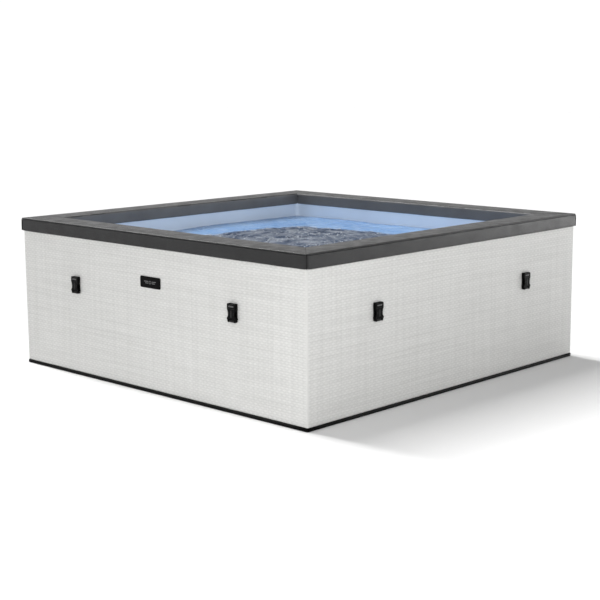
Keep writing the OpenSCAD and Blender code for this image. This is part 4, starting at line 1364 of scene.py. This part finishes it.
def latch(name):
    """A quarter-turn latch: the knob's wing is rounded and its disc has a turned rim and a pointer."""
    body, z = f"latch_{name}", LATCH_ZS[name]
    soft_copy(f"door_{body}", f"latch_knob_{name}", BLACK_PLASTIC, "latch_black", 0.8, body=body)
    rim = lathe(scaled(MM, (10.2, 0), (10.2, 1), (11.2, 1.5), (12.3, 1), (12.3, 0)), 40)
    rim = moved(rim, to_back(LATCH_X, DOOR_FACE + 2.5 * MM, z))
    piece(f"latch_rim_{name}", rim, BLACK_PLASTIC, "latch_black", body)
    dot = lathe(scaled(MM, (0, 0), (1.1, 0), (1.1, 0.5), (0.7, 0.8), (0, 0.9)), 16)
    dot = moved(dot, to_back(LATCH_X + 7.2 * MM, DOOR_FACE + 6.1 * MM, z))
    piece(f"latch_pointer_{name}", dot, ICON, "latch_black", body)


# ---------- control panel ----------

PANEL_Z, PANEL_FACE, KEY_FACE = 0.525, 0.927, 0.929
KEY_AT = {"power": -0.122, "heat": -0.092, "filter": -0.062, "bubbles": 0.062, "up": 0.092, "down": 0.122}
LAMPS = ("power", "heat", "filter", "bubbles")
DIGIT_WIDE, DIGIT_TALL, SEGMENT_GAP = 9.0, 18.0, 2.6
# each segment's place in half widths and half heights, and whether it lies flat
SEGMENTS = {"a": (0, 1, True), "b": (0.5, 0.5, False), "c": (0.5, -0.5, False), "d": (0, -1, True),
            "e": (-0.5, -0.5, False), "f": (-0.5, 0.5, False), "g": (0, 0, True)}


def printed(meshes, x, y):
    """Prints drawn facing -Y, put facing outwards on the panel. Mirrored so that they read right."""
    return moved(joined(meshes, 50), shifted(x, y, PANEL_Z) @ Matrix.Diagonal((-1, -1, 1, 1)))


def stroke(points, width=0.55):
    """A drawn line of an icon, in millimetres."""
    return tube([(x * MM, 0, z * MM) for x, z in points], width * MM / 2, 8)


def icon(kind):
    """The strokes of a key's plain sign."""
    if kind == "power":
        return [stroke(arc((0, 0), 3.6, 125, 415, 16)), stroke([(0, 1.2), (0, 3.0), (0, 4.8)])]
    if kind == "heat":
        wave = [(0.7 * math.sin(z * 1.5), z) for z in [-3.6 + 0.45 * i for i in range(17)]]
        return [stroke([(x + dx, z) for x, z in wave]) for dx in (-2.4, 0.0, 2.4)]
    if kind == "filter":
        lines = [(4 - 0.9 * i, 4 - 2 * i) for i in range(4)]
        strokes = [stroke([(-half, z), (0, z), (half, z)]) for half, z in lines]
        return strokes + [stroke([(0, -3.2), (0, -3.8), (0, -4.6)])]
    if kind == "bubbles":
        return [stroke(arc(at, r, 0, 340, 16)) for at, r in (((-2.0, -1.8), 1.7), ((2.1, -0.6), 1.3),
                                                             ((-0.3, 2.8), 1.5))]
    sign = 1 if kind == "up" else -1
    return [stroke([(-3.4, -1.6 * sign), (0, 1.9 * sign), (3.4, -1.6 * sign)], 0.8)]


def keys():
    """The six keys and the signs printed on them."""
    for name, x in KEY_AT.items():
        soft_copy(f"key_{name}", f"button_{name}", KEY, "key_grey", 1.1, body=f"key_{name}")
        piece(f"button_icon_{name}", printed(icon(name), x, KEY_FACE), ICON, "key_grey", f"key_{name}")


def digit(lit, x):
    """A seven-segment digit with some segments lit, its middle at x."""
    bars = []
    for dx, dz, flat in (SEGMENTS[name] for name in lit):
        cx, cz = x + dx * DIGIT_WIDE, dz * DIGIT_TALL / 2
        half = ((DIGIT_WIDE if flat else DIGIT_TALL / 2) - SEGMENT_GAP) / 2
        ends = [(-half, 0), (0, 0), (half, 0)] if flat else [(0, -half), (0, 0), (0, half)]
        bars.append(stroke([(cx + a, cz + b) for a, b in ends], 1.5))
    return bars


def display():
    """The window, with a temperature of 38 degrees and a ring for the heater."""
    soft_copy("display_window", "display_pane", WINDOW, "window_dark", 0.6)
    lit = digit("abgcd", -16.0) + digit("abcdefg", -1.0)
    lit.append(stroke(arc((11, 7), 1.8, 0, 345, 16), 0.9))
    ring = [(24 + 2.6 * x, -5 + 3.4 * z) for x, z in arc((0, 0), 1, -60, 240, 15)]
    lit.append(stroke(ring, 0.9))
    piece("display_figures", printed(lit, 0, PANEL_FACE + 0.05 * MM), DIGITS, "window_dark")


def panel():
    """The panel's fascia and board, a rim round each key, lamps over four of them, and corner screws."""
    soft_copy("control_panel", "panel_fascia", BLACK_PLASTIC, "panel_black", 1.4)
    soft_copy("control_board", "panel_board", BOARD, "board_green", 0.3)
    ring = lathe(scaled(MM, (9.5, 0), (9.5, 0.35), (10, 0.7), (10.7, 0.7), (11.2, 0.35), (11.2, 0)), 40)
    rims = [moved(ring, to_back(x, PANEL_FACE - 0.15 * MM, PANEL_Z)) for x in KEY_AT.values()]
    piece("key_rims", joined(rims), BLACK_PLASTIC, "panel_black")
    lamp = lathe(scaled(MM, (0, 0), (1.2, 0), (1.2, 0.3), (0.6, 0.7), (0, 0.8)), 16)
    lamp_y, lamp_z = PANEL_FACE - 0.1 * MM, PANEL_Z + 17 * MM
    lamps = [moved(lamp, to_back(KEY_AT[name], lamp_y, lamp_z)) for name in LAMPS]
    piece("key_lamps", joined(lamps), DIGITS, "panel_black")
    corners = [(x, PANEL_Z + z, x * 20 + z) for x in (-0.137, 0.137) for z in (-25 * MM, 25 * MM)]
    screws("panel_screws", 2.6 * MM, PANEL_FACE, corners)


soft_copy("equipment_case", "bay_case", CASE, "case_grey", 1.2)
frame_gasket()
frame_screws()
door()
hinge_pins()
latch("upper")
latch("lower")
panel()
keys()
display()
soft_copy("power_inlet", "lead_gland", BLACK_PLASTIC, "panel_black", 0.7)


# ---------- pump, blower, heater and pipes ----------

PLANT_Y = 0.858
PUMP_X, PUMP_Z, BLOWER_X, BLOWER_Z, HEATER_Z = -0.170, 0.300, 0.075, 0.300, 0.440
HOSE_R = 16.2  # in millimetres
ALONG_X = spun(90, "Y")


def clamp_mesh():
    """A worm-drive hose clip round a pipe along +X: a band, its screw housing and its screw."""
    r = HOSE_R
    band = lathe(scaled(MM, (r, -5), (r + 0.9, -5), (r + 0.9, 5), (r, 5)), 32)
    housing = softened(box_mm((-6, r - 0.5, -7), (6, r + 4.5, 7)), 1.2 * MM)
    screw = lathe(scaled(MM, (0, 0), (3, 0), (3, 3), (2.4, 3.8), (0, 3.8)), 6)
    return joined([moved(band, ALONG_X), housing, moved(screw, shifted(0, (r + 2.2) * MM, 6.5 * MM))])


def hose_clips():
    """Clips on the pump's two hoses and at both ends of the heater."""
    level = Matrix.Identity(4)
    places = ((-0.2, PUMP_Z, level), (PUMP_X, 0.385, ALONG_X), (0.135, HEATER_Z, level),
              (-0.135, HEATER_Z, level))
    clips = [moved(clamp_mesh(), shifted(x, PLANT_Y, z) @ turn) for x, z, turn in places]
    piece("hose_clips", joined(clips), STEEL, "pipe_grey")


def pump_fins():
    """Cooling ribs along the motor, and a fan cowl with slots at its far end."""
    ribs, count = [], 28
    for i in range(count):
        a = 2 * math.pi * i / count
        out = Vector((0, math.cos(a), math.sin(a))) * 42.6 * MM
        path = [Vector((PUMP_X + dx * MM, PLANT_Y, PUMP_Z)) + out for dx in (28, 60, 90, 118)]
        ribs.append(tube(path, 1.5 * MM, 6))
    piece("motor_ribs", joined(ribs, 60), PUMP, "pump_dark")
    cowl = lathe(scaled(MM, (0, 0), (40, 0), (43.5, -3), (43.5, -16), (42.4, -16), (42.4, -3.5),
                        (39.5, -1.4), (0, -1.4)), 48)
    slots = [moved(box_mm((14, -1.6, -5), (34, 1.6, 5)), spun(30 * i, "Z")) for i in range(12)]
    cowl = moved(carved(cowl, slots), shifted(PUMP_X + 151 * MM, PLANT_Y, PUMP_Z) @ ALONG_X)
    piece("motor_cowl", cowl, BLACK_PLASTIC, "pump_dark")


def plant_bolts():
    """Bolts round the pump's volute and the blower's cover."""
    bolt = lathe(scaled(MM, (0, 0), (3.2, 0), (3.2, 2), (2.6, 2.6), (0, 2.6)), 6)
    bolts, count = [], 8
    for i in range(count):
        a = 2 * math.pi * (i + 0.5) / count
        c, s = math.cos(a) * MM, math.sin(a) * MM
        at_pump = shifted(PUMP_X + 20 * MM, PLANT_Y + 45.5 * c, PUMP_Z + 45.5 * s)
        bolts.append(moved(bolt, at_pump @ ALONG_X))
        at_blower = to_back(BLOWER_X + 61 * c, PLANT_Y + 30 * MM, BLOWER_Z + 61 * s)
        bolts.append(moved(bolt, at_blower @ Matrix.Diagonal((0.8, 0.8, 0.8, 1))))
    piece("plant_bolts", joined(bolts), STEEL, "pump_dark")


soft_copy("pump_housing", "pump_body", PUMP, "pump_dark", 1.2)
soft_copy("blower_housing", "blower_body", PUMP, "pump_dark", 1.2)
soft_copy("heater_tube", "heater_body", STEEL, "heater_steel", 0.8)
soft_copy("pipework", "water_pipes", PIPE, "pipe_grey", 0.4)
soft_copy("pump_impeller", "pump_wheel", BLACK_PLASTIC, "rotor_black", 0.2, 1, "pump_rotor")
soft_copy("blower_impeller", "blower_wheel", BLACK_PLASTIC, "rotor_black", 0.2, 1, "blower_rotor")
hose_clips()
pump_fins()
plant_bolts()
